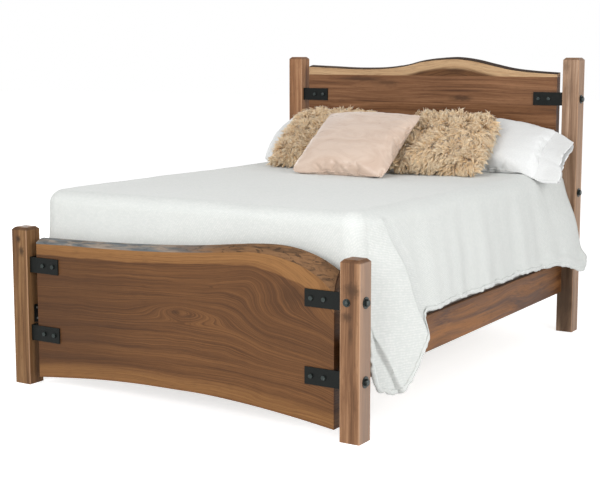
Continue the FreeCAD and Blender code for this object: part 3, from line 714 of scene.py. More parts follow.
@dataclass(frozen=True)
class SlabFinish:
    """Walnut cut through the whole trunk: the rings that a piece keeps, pale sapwood and weathered bark."""

    name: str
    dark: Colour = srgb(54, 32, 16)
    middle: Colour = srgb(95, 62, 35)
    light: Colour = srgb(130, 90, 54)
    sap: Colour = srgb(138, 98, 58)
    sap_deep: Colour = srgb(102, 66, 35)
    bark_light: Colour = srgb(104, 109, 111)
    bark_pale: Colour = srgb(148, 136, 124)
    bark_warm: Colour = srgb(122, 90, 62)
    bark_dark: Colour = srgb(52, 40, 31)
    top_sap: float = 0.052
    low_sap: float = 0.066
    grey_until: float = 0.1
    warm_after: float = 0.45
    shade: float = 0.42
    sap_blur: float = 0.004
    right_sap: float = 0.0
    dark_patches: tuple[DarkPatch, ...] = ()

    def make(self) -> Material:
        """Mix colour from the kept rings, edge distances and bark share.

        Returns:
            The finished material.
        """
        mix = Mixer(self.name)
        place = mix.place()
        parts = mix.parts(place)
        along = parts["X"]
        rings = mix.fill(mix.new("CombineXYZ"), {
            "X": mix.sum("MULTIPLY", along, 0.7),
            "Y": mix.sum("MULTIPLY", mix.kept("rings"), 42.0),
            "Z": mix.sum("MULTIPLY", parts["Y"], 9.0)})[0]
        broad = mix.noise(rings, 0.42, 2.0, 0.5, 0.2)
        streaks = mix.noise(rings, 1.15, 5.0, 0.62, 0.15)
        lines = mix.noise(rings, (2.0, 4.6, 1.0), 3.0, 0.62)
        fibres = mix.noise(rings, (3.0, 16.0, 1.0), 2.0, 0.6)
        tone = mix.weighed((broad, 0.24), (streaks, 0.28), (lines, 0.34), (fibres, 0.38))
        share = mix.spread(tone, 0.38, 0.90)
        colour = mix.ramp(share, [(0.0, self.dark), (0.44, self.middle), (1.0, self.light)])
        colour = mix.blend(mix.spread(along, -0.73, 0.10, self.shade, 0.0), colour, self.dark)
        for patch in self.dark_patches:
            colour = mix.blend(mix.smudge(patch), colour, tuple(0.3 * c for c in self.middle))
        bright_sap = tuple(min(1, 1.18 * c) for c in self.sap)
        sapwood_and_sheen = mix.ramp(share, [(0.0, self.sap_deep), (0.6, self.sap), (1.0, bright_sap)])
        wander = mix.sum("MULTIPLY_ADD", mix.noise(place, (3, 3, 3), 3.0, 0.6), 0.03, -0.015)
        colour = mix.blend(self.sap_share(mix, along, wander), colour, sapwood_and_sheen)
        if self.low_sap > 0:
            low_rim = mix.spread(mix.kept("from_low"), 0.003, 0.012, 0.5, 0.0)
            colour = mix.blend(low_rim, colour, self.sap_deep)
        pores = mix.noise(rings, (24, 20, 60), 2.0, 0.5)
        colour = mix.blend(mix.spread(pores, 0.56, 0.70, 0.0, 0.5), colour, self.dark)
        bark, height = self.bark(mix, place, along)
        rim = mix.spread(mix.sum("ADD", mix.kept("bark"), mix.sum("MULTIPLY", wander, 14.0)), 0.35, 0.6)
        colour = mix.blend(rim, colour, bark)
        facing = mix.relief(pores, 0.25, 0.0006)
        facing = mix.relief(mix.sum("MULTIPLY", height, rim), 0.9, 0.004, facing)
        rough = mix.sum("MULTIPLY_ADD", rim, 0.3, mix.between(streaks, 0.42, 0.54))
        return mix.finish(Base_Color=colour, Roughness=rough, Normal=facing, Specular_IOR_Level=0.18)

    def sap_share(self, mix: Mixer, along: Socket, wander: Socket) -> Socket:
        """How much sapwood shows: a band along each edge, the upper one wider at the right end.

        Args:
            mix: the material in hand.
            along: the place along the slab.
            wander: how far the bands' borders stray.

        Returns:
            A share from 0 to 1.
        """
        from_top = mix.sum("ADD", mix.kept("from_top"), wander)
        from_top = mix.sum("SUBTRACT", from_top, mix.spread(along, 0.34, 0.54, 0.0, self.right_sap))
        from_low = mix.sum("ADD", mix.kept("from_low"), wander)
        at_top = mix.spread(from_top, self.top_sap - self.sap_blur, self.top_sap + self.sap_blur, 1.0, 0.0)
        at_low = mix.spread(from_low, self.low_sap - 0.030, self.low_sap + 0.006, 0.72, 0.0)
        return mix.sum("MAXIMUM", at_top, at_low)

    def bark(self, mix: Mixer, place: Socket, along: Socket) -> tuple[Socket, Socket]:
        """The weathered edge: grey at one end, warm and cracked at the other.

        Args:
            mix: the material in hand.
            place: the place on the slab.
            along: the place along the slab.

        Returns:
            Its colour and its relief.
        """
        ridges = mix.noise(place, (6, 46, 46), 4.0, 0.6, 1.2)
        cracks = mix.noise(place, (11, 34, 34), 4.0, 0.62, 1.8)
        warmth = mix.sum("MULTIPLY_ADD", ridges, 0.5, along)
        warm = mix.spread(warmth, self.grey_until, self.grey_until + self.warm_after)
        patches = mix.noise(place, (9, 40, 40), 2.0, 0.5, 0.6)
        grey = mix.blend(mix.spread(patches, 0.38, 0.66), self.bark_light, self.bark_pale)
        body = mix.blend(warm, grey, self.bark_warm)
        strength = mix.sum("MULTIPLY_ADD", warm, 0.5, 0.35)
        dips = mix.sum("MULTIPLY", mix.spread(ridges, 0.34, 0.58, 0.7, 0.0), strength)
        body = mix.blend(dips, body, self.bark_dark)
        splits = mix.sum("MULTIPLY", mix.spread(cracks, 0.55, 0.62, 0.0, 0.9), strength)
        body = mix.blend(splits, body, self.bark_dark)
        return body, mix.sum("MULTIPLY_ADD", cracks, -0.6, ridges)


@dataclass(frozen=True)
class PaleWood:
    """Planed, unfinished timber for the hidden supports."""

    name: str
    grain: Axis

    def make(self) -> Material:
        """Mix pale straight grain."""
        pale = dict(dark=srgb(176, 138, 96), middle=srgb(205, 172, 128), light=srgb(224, 198, 158))
        return Walnut(self.name, self.grain, **pale, figure=0.7).make()


@dataclass(frozen=True)
class BlackSteel:
    """Steel under matte black paint."""

    name: str
    colour: Colour = srgb(6, 10, 8)
    worn: Colour = srgb(20, 25, 22)
    rough: float = 0.5
    metal: float = 0.2

    def make(self) -> Material:
        """Mix a fine orange-peel surface with a little rubbed paint.

        Returns:
            The finished material.
        """
        mix = Mixer(self.name)
        place = mix.place()
        peel = mix.noise(place, 900.0, 2.0, 0.5)
        cloud = mix.noise(place, 38.0, 4.0, 0.6)
        colour = mix.blend(mix.spread(cloud, 0.5, 0.78, 0.0, 0.55), self.colour, self.worn)
        rough = mix.between(cloud, self.rough - 0.07, self.rough + 0.1)
        return mix.finish(Base_Color=colour, Roughness=rough, Normal=mix.relief(peel, 0.22, 0.0004),
                          Metallic=self.metal, Specular_IOR_Level=0.22)


@dataclass(frozen=True)
class Zinc:
    """Zinc-plated screws."""

    name: str

    def make(self) -> Material:
        """Mix dull bright metal with faint clouds.

        Returns:
            The finished material.
        """
        mix = Mixer(self.name)
        cloud = mix.noise(mix.place(), 260.0, 3.0, 0.6)
        colour = mix.ramp(cloud, [(0.3, srgb(118, 118, 115)), (0.7, srgb(160, 159, 153))])
        return mix.finish(Base_Color=colour, Roughness=mix.between(cloud, 0.3, 0.45), Metallic=0.9,
                          Normal=mix.relief(cloud, 0.1, 0.0003))


@dataclass(frozen=True)
class RibbedCotton:
    """The coverlet's cloth: fine slanting ribs that follow the cloth, broken up as quilting is."""

    name: str
    colour: Colour = srgb(215, 216, 213)
    groove_shade: Colour = srgb(201, 204, 201)
    rib: float = 0.0086
    slant: float = 0.60

    def make(self) -> Material:
        """Mix ribs from the kept cloth coordinates.

        Returns:
            The finished material.
        """
        mix = Mixer(self.name)
        cloth = mix.kept("cloth_way", True)
        stirred = mix.stretch(cloth, (1, 1, 1), turn=(0, 0, self.slant))
        ribs = mix.bands(stirred, math.pi / (10 * self.rib), 4.6, 3.0)
        broken = mix.cells(mix.stretch(cloth, (1.0, 1.7, 1.0), turn=(0, 0, self.slant)), 78.0)
        weave = mix.noise(cloth, 900.0, 2.0, 0.6)
        slubs = mix.noise(cloth, (60, 240, 60), 3.0, 0.6)
        height = mix.weighed((ribs, 0.50), (broken, -0.8), (slubs, 0.35))
        # painted shade: the cloth is darker where its relief is low, in the grooves between the ribs
        colour = mix.blend(mix.spread(height, -0.25, 0.75, 1.0, 0.0), self.colour, self.groove_shade)
        facing = mix.relief(weave, 0.15, 0.0006)
        facing = mix.relief(height, 0.36, 0.0016, facing)
        return mix.finish(Base_Color=colour, Roughness=mix.between(slubs, 0.82, 0.94), Normal=facing,
                          Sheen_Weight=0.25, Sheen_Roughness=0.5, Specular_IOR_Level=0.2)


@dataclass(frozen=True)
class PlainCloth:
    """Plainly woven cloth with a faint crumple."""

    name: str
    colour: Colour
    shade: Colour
    thread: float = 1500.0
    crumple: float = 0.35
    sheen: float = 0.2

    def make(self) -> Material:
        """Mix a thread weave, slubs and creases.

        Returns:
            The finished material.
        """
        mix = Mixer(self.name)
        place = mix.place()
        over = mix.bands(mix.stretch(place, (1, 1, 1), turn=(0, 0, 0.02)), self.thread / 20, 0.6)
        across = mix.bands(mix.stretch(place, (1, 1, 1), turn=(0.1, 0.6, math.pi / 2)), self.thread / 20, 0.6)
        crease = mix.noise(place, (7, 16, 10), 5.0, 0.62, 1.2)
        slubs = mix.noise(place, (120, 300, 160), 3.0, 0.6)
        colour = mix.blend(mix.spread(slubs, 0.35, 0.75, 0.5, 0.0), self.colour, self.shade)
        facing = mix.relief(mix.sum("MULTIPLY", over, across), 0.12, 0.0005)
        facing = mix.relief(crease, self.crumple, 0.012, facing)
        return mix.finish(Base_Color=colour, Roughness=mix.between(slubs, 0.8, 0.92), Normal=facing,
                          Sheen_Weight=self.sheen, Sheen_Roughness=0.5, Specular_IOR_Level=0.2)


@dataclass(frozen=True)
class Satin:
    """Pale pink satin: smooth, softly shining, finely wrinkled."""

    name: str
    colour: Colour = srgb(208, 187, 171)
    shade: Colour = srgb(186, 159, 140)

    def make(self) -> Material:
        """Mix broad sheen, fine slanting threads and wrinkles.

        Returns:
            The finished material.
        """
        mix = Mixer(self.name)
        place = mix.place()
        wrinkle = mix.noise(mix.stretch(place, (6, 15, 9), turn=(0, 0, 0.4)), 1.0, 4.0, 0.55, 1.6)
        threads = mix.noise(place, (90, 1400, 1400), 2.0, 0.5)
        # painted shade: the satin is darker in the low parts of the wrinkles
        colour = mix.blend(mix.spread(wrinkle, 0.34, 0.66, 0.46, 0.0), self.colour, self.shade)
        facing = mix.relief(threads, 0.08, 0.0004)
        creases = mix.spread(mix.sum("ABSOLUTE", mix.sum("SUBTRACT", wrinkle, 0.5)), 0.0, 0.07)
        facing = mix.relief(wrinkle, 0.30, 0.012, facing)
        facing = mix.relief(creases, 0.17, 0.006, facing)
        return mix.finish(Base_Color=colour, Roughness=mix.between(wrinkle, 0.27, 0.40), Normal=facing,
                          Sheen_Weight=0.35, Sheen_Roughness=0.35, Specular_IOR_Level=0.45, Anisotropic=0.4)


@dataclass(frozen=True)
class Fleece:
    """Long curled pile, each lock a little different, with painted shade darkening the roots and a painted
    highlight brightening the tips.
    """

    name: str
    # the root colour is painted shade at the base of the pile, and the tip colour a painted highlight
    root: Colour = srgb(136, 104, 68)
    body: Colour = srgb(230, 203, 163)
    tip: Colour = srgb(250, 236, 210)

    def make(self) -> Material:
        """Mix the colour along each lock with its own tint.

        Returns:
            The finished material.
        """
        mix = Mixer(self.name)
        along = mix.kept("lock_share")
        tint = mix.kept("lock_tint")
        strands = mix.noise(mix.place(), (700, 700, 260), 2.0, 0.6)
        spot = mix.sum("MULTIPLY_ADD", strands, 0.34, mix.sum("SUBTRACT", along, 0.17))
        # painted shade near the roots of each lock, and a painted highlight at its tip
        colour = mix.ramp(spot, [(0.0, self.root), (0.38, self.body), (0.92, self.tip)])
        colour = mix.blend(mix.spread(tint, 0.0, 1.0, 0.62, 0.0), colour, self.body, "MULTIPLY")
        return mix.finish(Base_Color=colour, Roughness=mix.between(strands, 0.55, 0.7),
                          Normal=mix.relief(strands, 0.3, 0.0008), Sheen_Weight=0.5, Sheen_Roughness=0.4,
                          Specular_IOR_Level=0.3)


# Boards with a natural edge


@dataclass
class NaturalEdgeBoard:
    """A board with bark left on its upper edge, shaped as its CAD node is, with finer relief.

    The front face, the rounded bark edge and the back face are one loop of points, carried along the board.
    """

    name: str
    node: str
    finish: SlabFinish
    slot: str
    length: float
    front: float
    thickness: float
    low_edge: Table
    front_edge: Table
    back_edge: Table
    rings: Rings
    columns: int = 250
    face_rows: int = 84
    edge_rows: int = 22
    roughness: float = 0.0016
    rise: tuple[float, float] = (2.172, 1.172)
    rim: float = 0.012
    pull: Place = (0.0, 0.55, -0.83)

    def edge(self, table: Table, at: Array) -> Array:
        """The height of an edge at places along the board."""
        return along_table([(share * self.length, height) for share, height in table], at)

    def heights(self, at: Array) -> tuple[Array, Array, Array]:
        """The low edge, and the front and back of the bark edge, at places along the board."""
        return self.edge(self.low_edge, at), self.edge(self.front_edge, at), self.edge(self.back_edge, at)

    def build(self) -> Piece:
        """Work out the loop at each place: y is the depth and z runs between the edges.

        On the bark edge, height rises from front to back by 2.17 d less 1.17 d squared, where d is the share
        of the depth, and bark stands off it by rolling unevenness that fades at its two rims.

        Returns:
            The board.
        """
        x = np.linspace(-self.length / 2, self.length / 2, self.columns)
        low, front, back = self.heights(x)
        up = np.linspace(0, 1, self.face_rows)
        over = np.linspace(0, 1, self.edge_rows + 2)[1:-1]
        rise = self.rise[0] * over - self.rise[1] * over**2
        z_front = low[:, None] + (front - low)[:, None] * up
        z_over = front[:, None] + (back - front)[:, None] * rise
        z_back = low[:, None] + (back - low)[:, None] * up[::-1]
        heights = np.concatenate([z_front, z_over, z_back], 1)
        depth = np.concatenate([np.zeros(self.face_rows), over, np.ones(self.face_rows)]) * self.thickness
        depths = np.broadcast_to(self.front + depth, heights.shape)
        points = np.stack([np.broadcast_to(x[:, None], heights.shape), depths, heights], -1).copy()
        near_rim = hill(up, 1.0, self.rim)
        bark = np.concatenate([near_rim, np.ones(self.edge_rows), near_rim[::-1]])
        fade = np.concatenate([0 * up, np.sin(math.pi * over) ** 0.5, 0 * up])
        stretched = points * np.array([0.35, 1.0, 1.0])
        bumps = rolling(stretched, 5, 0.02) * 0.6 + rolling(points, 6, 0.011) * 0.4
        points += np.array(self.pull) * ((0.6 + bumps) * self.roughness * fade)[..., None]
        faces = [group[:, ::-1] for group in stack_faces(self.columns, points.shape[1])]
        piece = make_piece(self.name, points, faces, sharp_degrees=50.0)
        z = points[..., 2]
        keep(piece, "rings", self.rings(points[..., 0], z, low[:, None], front[:, None]))
        keep(piece, "from_top", np.maximum(front[:, None] - z, 0.0))
        keep(piece, "from_low", np.maximum(z - low[:, None], 0.0))
        keep(piece, "bark", np.broadcast_to(bark, heights.shape))
        piece.data.materials.append(self.finish.make())
        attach(piece, "frame")
        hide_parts(self.node)
        log.info("%s made, %d points", self.name, len(piece.data.vertices))
        return piece


def footboard_rings(x: Array, z: Array, low: Array, top: Array) -> Array:
    """The footboard's growth lines: they follow both edges, close round an eye, and sweep down to its right.

    The value at a place is its share of the way up, times a usual depth, less a bell at the eye that is about
    five times as long as it is high and has pointed ends, less a low bell past its right end. An S-shaped
    step then carries the lines down, with a lump over it, and soft unevenness is added, calm about the eye.

    Args:
        x: places along the board.
        z: heights.
        low: heights of the low edge.
        top: heights of the top edge.

    Returns:
        One value for each place. The lines join equal values.
    """
    base = 0.6 * (z - low) / (top - low)
    places = np.stack([x * 0.4, z], -1)
    eye_x, eye_z = 0.035, 0.404
    reach = np.where(x < eye_x, 0.140, 0.170)
    away = (np.abs(x - eye_x) / reach) ** 1.5 + ((z - eye_z) / 0.033) ** 2
    eye = 0.095 * np.exp(-away)
    curl = 0.009 * hill(x, 0.225, 0.050) * hill(z, 0.395, 0.055)
    step = 0.120 / (1 + np.exp(-(x - 0.355) / 0.040)) * hill(z, 0.42, 0.15)
    lump = 0.045 * hill(x, 0.39, 0.12) * hill(z, 0.56, 0.07)
    calm = 1 - 0.8 * np.exp(-away / 2)
    uneven = 0.005 * rolling(places, 3, 0.20) + 0.0016 * rolling(places, 4, 0.06)
    return base - eye - curl + step - lump + calm * uneven


def crest_rings(x: Array, z: Array, low: Array, top: Array) -> Array:
    """The top board's growth lines: flat arches that rise under the hump.

    Args:
        x: places along the board.
        z: heights.
        low: heights of the low edge.
        top: heights of the top edge.

    Returns:
        One value for each place. The lines join equal values.
    """
    base = (z - low) - 0.45 * (top - low)
    places = np.stack([x * 0.4, z], -1)
    return base - 0.03 * hill(x, 0.16, 0.14) + 0.004 * rolling(places, 8, 0.12)


# Soft pieces


@dataclass
class Coverlet:
    """The coverlet: a sheet over the mattress, hung outside the rails, with a swung fold at each foot corner.

    The outline at any height is a line from the head end, down one side, round the foot and back. How far it
    stands out at that height is its flare, from 0 at the top edge to about 1 above the hem.
    """

    half_x: float = 0.774
    half_y: float = 1.028
    head_y: float = 1.028
    top: float = 0.8303
    turn: float = 0.058
    corner: float = 0.074
    flare: float = 0.078
    head_flare: float = 0.158
    fold_flare: float = 0.126
    fold_sweep: float = 0.262
    fold_lead: float = 0.175
    fold_rest: float = 0.06
    foot_swing: float = 0.014
    hem_level: float = 0.402
    rail_face: float = 0.788
    hem_half: float = 0.0075
    lean_in: float = 0.025
    rail_top: float = 0.368
    lean_height: float = 0.075
    flap_share: float = 0.52
    flap_slope: float = 1.7
    flap_low: float = 0.13
    flap_top: float = 0.46
    flap_step: float = 0.017
    flap_proud: float = 0.006
    thickness: float = 0.0035
    seam_gap: float = 0.0004
    columns: tuple[int, ...] = (100, 18, 64, 12, 30)
    fall_rows: int = 66
    turn_rows: int = 10
    top_rows: int = 20
    falls: Table = (
        (0.0, 1.2), (0.17, 1.15), (0.43, 1.00), (0.59, 0.77), (0.78, 0.55), (0.93, 0.26), (1.0, 0.16))
    fold_hem: Table = (
        (0.0, 0.318), (0.2, 0.245), (0.42, 0.158), (0.56, 0.128), (0.75, 0.142), (0.91, 0.195), (1.0, 0.370))
    finish: RibbedCotton = field(default_factory=lambda: RibbedCotton("white_ribbed_cotton"))

    def stretches(self) -> tuple[Array, Array]:
        """For each column of half the outline, its stretch and its share along that stretch.

        The stretches are the side, the lead-out, the fold, the corner and the foot, whose end is one more
        column.

        Returns:
            Numbers from 0 to 4, and shares from 0 to 1.
        """
        kinds = np.repeat(np.arange(len(self.columns)), self.columns)
        shares = np.concatenate([np.arange(count) / count for count in self.columns])
        return np.append(kinds, kinds[-1]), np.append(shares, 1.0)

    def outline(self, kind: Array, share: Array, flare: Array, inset: Array,
                side: int) -> tuple[Array, Array]:
        """Half the outline: straight side, lead-out, fold, corner arc and foot, each blended by its share.

        Args:
            kind: each column's stretch.
            share: its share of the way along the stretch.
            flare: how far the cloth stands out there.
            inset: how far the outline is drawn in.
            side: 1 or -1, which side's own waves are used.

        Returns:
            Distances out from the middle, and places along the bed.
        """
        sweep = np.minimum(flare, 1.0)
        edge_x = self.half_x - inset
        edge_y = self.half_y - inset
        corner = np.maximum(self.corner - inset, 0.012)
        shoulder_y = -edge_y + corner
        tip_y = shoulder_y + self.fold_rest + (self.fold_sweep - self.fold_rest) * sweep
        last_y = tip_y + self.fold_rest + (self.fold_lead - self.fold_rest) * sweep
        side_y = self.head_y + (last_y - self.head_y) * share
        towards_head = ease((side_y - 0.30) / 0.72) ** 1.3
        side_x = edge_x + flare * (self.flare + (self.head_flare - self.flare) * towards_head)
        side_x = side_x + flare * self.waves(side_y, side)
        lead_y = last_y + (tip_y - last_y) * share
        start_x = edge_x + flare * (self.flare + self.waves(last_y, side))
        tip_x = edge_x + self.fold_flare * flare
        lead_x = start_x + (tip_x - start_x) * share**1.7 - 0.010 * flare * np.sin(math.pi * share)
        shoulder_x = edge_x + self.foot_swing * flare
        low_y = shoulder_y - self.foot_swing * sweep
        fold_y = tip_y + (low_y - tip_y) * share
        fold_x = tip_x + (shoulder_x - tip_x) * share + 0.012 * flare * np.sin(math.pi * share)
        angle = share * math.pi / 2
        foot_y = -edge_y - self.foot_swing * sweep
        arc_x = shoulder_x - corner * (1 - np.cos(angle))
        arc_y = low_y - (low_y - foot_y) * np.sin(angle)
        foot_x = (shoulder_x - corner) * (1 - share)
        ripple = 0.004 * sweep * np.sin(foot_x * 19.0 + side) * ease(share / 0.2)
        xs = np.choose(kind, [side_x, lead_x, fold_x, arc_x, foot_x])
        ys = np.choose(kind, [side_y, lead_y, fold_y, arc_y, foot_y - ripple])
        return xs, ys

    def waves(self, y: Array, side: int) -> Array:
        """Upright folds of the side at full flare: uneven sine waves that fade towards both ends.

        Args:
            y: places along the bed.
            side: 1 or -1.

        Returns:
            How far the cloth stands out more or less.
        """
        slow = 0.010 * np.sin(y * 14.5 + 1.1 * side) + 0.006 * np.sin(y * 26.0 + 2.0 * side)
        fine = 0.0035 * np.sin(y * 47.0 + 0.7 * side)
        return (slow + fine) * ease((1.05 - y) / 0.25)

    def hem(self, kind: Array, share: Array) -> Array:
        """The hem's height for each column.

        Args:
            kind: each column's stretch.
            share: its share of the way along the stretch.

        Returns:
            Heights above the floor.
        """
        y = self.head_y + (-0.487 - self.head_y) * share
        side = self.hem_level - 0.056 * ease((y - 0.70) / 0.28) + 0.034 * ease((y - 0.95) / 0.078) ** 2
        side = side + 0.004 * np.sin(y * 17.0) + 0.0015 * np.sin(y * 53.0)
        lead = self.hem_level - 0.002 - 0.082 * share**1.5
        fold = along_table(self.fold_hem, share)
        corner = 0.370 - 0.004 * share
        foot = 0.366 + 0.003 * np.sin(share * 20.0)
        return np.choose(kind, [side, lead, fold, corner, foot])

    def flare_at(self, height: Array) -> Array:
        """How far the cloth stands out at a height: the smooth curve of the fall table, then a quick fade.

        Args:
            height: the heights.

        Returns:
            The distances.
        """
        start = self.top - self.turn
        below = along_table(self.falls, np.clip(height / start, 0, 1))
        angle = np.arcsin(np.clip((height - start) / self.turn, 0, 1))
        return np.where(height > start, 0.16 * np.cos(angle) ** 4, below)

    def rows(self, hem: Array) -> tuple[Array, Array]:
        """Heights and insets of the grid's rows, for each column, from the hem up and in to the middle.

        Args:
            hem: the hem's height for each column.

        Returns:
            Two arrays, with one line for each row.
        """
        start = self.top - self.turn
        climb = np.linspace(0, 1, self.fall_rows)[:, None]
        fall = hem[None, :] + (start - hem[None, :]) * climb
        angle = (np.linspace(0, 1, self.turn_rows + 1)[1:] * math.pi / 2)[:, None]
        turned = np.broadcast_to(start + self.turn * np.sin(angle), (self.turn_rows, len(hem)))
        drawn = np.broadcast_to(self.turn * (1 - np.cos(angle)), turned.shape)
        way = (np.linspace(0, 1, self.top_rows + 1)[1:] ** 1.2)[:, None]
        inner = np.broadcast_to(self.turn + (self.half_x - self.turn) * way, (self.top_rows, len(hem)))
        level = np.full(inner.shape, self.top)
        return np.concatenate([fall, turned, level]), np.concatenate([0 * fall, drawn, inner])

    def half(self, side: int) -> tuple[Array, Array]:
        """Points and cloth coordinates of one half of the coverlet.

        Args:
            side: 1 for the right half and -1 for the left.

        Returns:
            The points, and for each the place on the flat cloth.
        """
        kind, share = self.stretches()
        height, inset = self.rows(self.hem(kind, share))
        kinds = np.broadcast_to(kind, height.shape)
        shares = np.broadcast_to(share, height.shape)
        flare = np.where(inset < self.turn, self.flare_at(height), 0.0)
        xs, ys = self.outline(kinds, shares, flare, inset, side)
        low_edge = hill(height, self.hem(kind, share)[None, :] + 0.030, 0.026)
        xs = xs + 0.017 * low_edge * (kinds == 0) * ease((ys - 0.35) / 0.6)
        xs = np.where(inset > self.half_x - 1e-6, 0.0, np.maximum(xs, 0.0))
        points = np.stack([side * xs, ys, height], -1)
        rim_x, rim_y = self.outline(kinds, shares, 0 * flare, np.minimum(inset, self.turn), side)
        drop = np.maximum(self.top - height, 0.0) * 1.03
        none, full = 0 * drop, 1.0 + 0 * drop
        outward = np.choose(kinds, [full, full, 1.0 - 0.2 * shares, 0.8 * (1 - shares), none])
        along = np.choose(kinds, [none, none, 0.2 * shares, 0.2 + 0.8 * shares, full])
        on_top = inset >= self.turn
        flat_x = np.where(on_top, xs, rim_x + drop * outward)
        flat_y = np.where(on_top, ys, rim_y - drop * along)
        return points, np.stack([side * flat_x, flat_y, 0 * flat_x], -1)

    def overlapped(self, points: Array, kind: Array, share: Array) -> Array:
        """Lay the outer flap of each foot fold over the inner one.

        The flap's edge runs up towards the post: its share of the fold grows evenly with the height. Past
        that edge the cloth lies deeper by a step that fades out over the next few centimetres, and the flap
        before it stands a little proud.

        Args:
            points: the points so far.
            kind: each column's stretch.
            share: its share of the way along the stretch.

        Returns:
            The points with the overlap.
        """
        height = points[..., 2]
        fold_width = 0.42
        past = (share - (self.flap_share + self.flap_slope * (height - self.flap_low))) * fold_width
        in_fold = (kind == 2) & (height < self.flap_top)
        depth = self.flap_step * ease(past / 0.014) * np.exp(-np.maximum(past - 0.014, 0) / 0.06)
        proud = self.flap_proud * np.exp(-np.abs(past) / 0.03) * (1 - ease(past / 0.010))
        shift = np.where(in_fold, proud - depth, 0.0) * ease((self.flap_top - height) / 0.05)
        moved = points.copy()
        moved[..., 0] += np.sign(points[..., 0]) * shift * 0.9
        moved[..., 1] -= shift * 0.4
        return moved

    def outside_rails(self, points: Array, kind: Array, share: Array) -> Array:
        """Keep the hanging cloth outside the rails, and let it slant in over their top edge.

        The least distance from the middle is the rail's face plus the hem's half width. Above the rail it
        eases in, and it fades out round the corner arc.

        Args:
            points: the points so far.
            kind: each column's stretch.
            share: its share of the way along the stretch.

        Returns:
            The points, none of them in a rail.
        """
        x, height = points[..., 0], points[..., 2]
        lean = self.lean_in * ease((height - self.rail_top) / self.lean_height)
        least = self.rail_face + self.hem_half - lean
        out = np.abs(x)
        full = 1.0 + 0 * share
        weight = np.choose(kind, [full, full, full, 1 - ease(share / 0.45), 0 * share])
        push = np.maximum(least - out, 0.0) * weight * (height < 0.5)
        moved = points.copy()
        moved[..., 0] = np.where(x < 0, -1, 1) * (out + push)
        return moved

    def soften(self, points: Array) -> Array:
        """Add the cloth's own unevenness: broad swells on top, and finer ones where it hangs.

        Args:
            points: the points so far.

        Returns:
            The points moved a few millimetres.
        """
        flat = points[..., :2] * np.array([1.0, 0.6])
        on_top = ease((points[..., 2] - 0.80) / 0.03)
        swell = 0.0022 * rolling(flat, 21, 0.42) + 0.0009 * rolling(flat, 22, 0.13)
        hang = rolling(points * np.array([1.0, 1.0, 0.3]), 23, 0.11)
        low = ease((0.78 - points[..., 2]) / 0.3) * (1 - on_top)
        moved = points.copy()
        moved[..., 2] += np.minimum(swell, 0.0018) * on_top
        away = np.stack([np.sign(points[..., 0]) * ease((np.abs(points[..., 0]) - 0.70) / 0.06), 0 * low], -1)
        moved[..., :2] += away * (0.0022 * hang * low)[..., None]
        return moved

    def build(self) -> Piece:
        """Join both halves in one grid and close it along the middle of the top.

        Returns:
            The coverlet.
        """
        right, right_cloth = self.half(1)
        left, left_cloth = self.half(-1)
        points = np.concatenate([right, left[:, ::-1][:, 1:]], 1)
        cloth = np.concatenate([right_cloth, left_cloth[:, ::-1][:, 1:]], 1)
        kind, share = self.stretches()
        kinds = np.concatenate([kind, kind[::-1][1:]])
        shares = np.concatenate([share, share[::-1][1:]])
        points = self.outside_rails(self.soften(self.overlapped(points, kinds, shares)), kinds, shares)
        faces = grid_faces(*points.shape[:2], False)[:, ::-1]
        piece = make_piece("coverlet_cloth", points, [faces], sharp_degrees=60.0)
        keep(piece, "cloth_way", cloth, each=3)
        merge_doubles(piece, self.seam_gap)
        self.face_up(piece)
        thick = piece.modifiers.new("thickness", "SOLIDIFY")
        thick.thickness = self.thickness
        thick.offset = -1.0
        piece.data.materials.append(self.finish.make())
        hem = self.build_hem(points[0])
        self.declare(piece, hem)
        return piece

    def face_up(self, piece: Piece) -> None:
        """Turn the sheet over if its top faces down.

        Args:
            piece: the sheet.
        """
        normals = np.zeros(len(piece.data.polygons) * 3)
        piece.data.polygons.foreach_get("normal", normals)
        if normals.reshape(-1, 3)[:, 2].sum() < 0:
            piece.data.flip_normals()

    def build_hem(self, line: Array) -> Piece:
        """A rolled, gathered hem: an oval carried along the sheet's lower edge, pinched at uneven steps.

        Args:
            line: the points of the sheet's lower edge.

        Returns:
            The hem.
        """
        gaps = np.linalg.norm(np.diff(line, axis=0), axis=1)
        travel = np.concatenate([[0.0], np.cumsum(gaps)])
        fine = np.linspace(0, travel[-1], int(travel[-1] / 0.0055))
        path = np.stack([np.interp(fine, travel, line[:, axis]) for axis in range(3)], -1)
        wobble = rolling(fine[:, None], 31, 0.05)
        path[:, 2] += 0.0035 + 0.0012 * rolling(fine[:, None], 32, 0.07)
        side, up = circle(10).T
        wide = 0.0052 * (1 + 0.18 * wobble)[:, None]
        tall = 0.0100 * (1 + 0.12 * rolling(fine[:, None], 33, 0.035))[:, None]
        lean = 0.0018 * wobble[:, None]
        rings = tube_points(path, np.stack([wide * side + lean * up, tall * up], -1), False)
        hem = make_piece("coverlet_hem", rings, stack_faces(*rings.shape[:2]), sharp_degrees=70.0)
        height = rings[..., 2]
        along = np.broadcast_to(fine[:, None], height.shape)
        keep(hem, "cloth_way", np.stack([height, along, 0 * height], -1), each=3)
        merge_doubles(hem, TOUCHING)
        hem.data.materials.append(self.finish.make())
        return hem

    def declare(self, piece: Piece, hem: Piece) -> None:
        """Attach the cloth and its hem to what they rest on, and hide the CAD node that they stand for.

        Args:
            piece: the sheet.
            hem: its hem.
        """
        for part in (piece, hem):
            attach(part, "bedding")
        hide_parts("coverlet")
        log.info("coverlet made, %d points", len(piece.data.vertices))


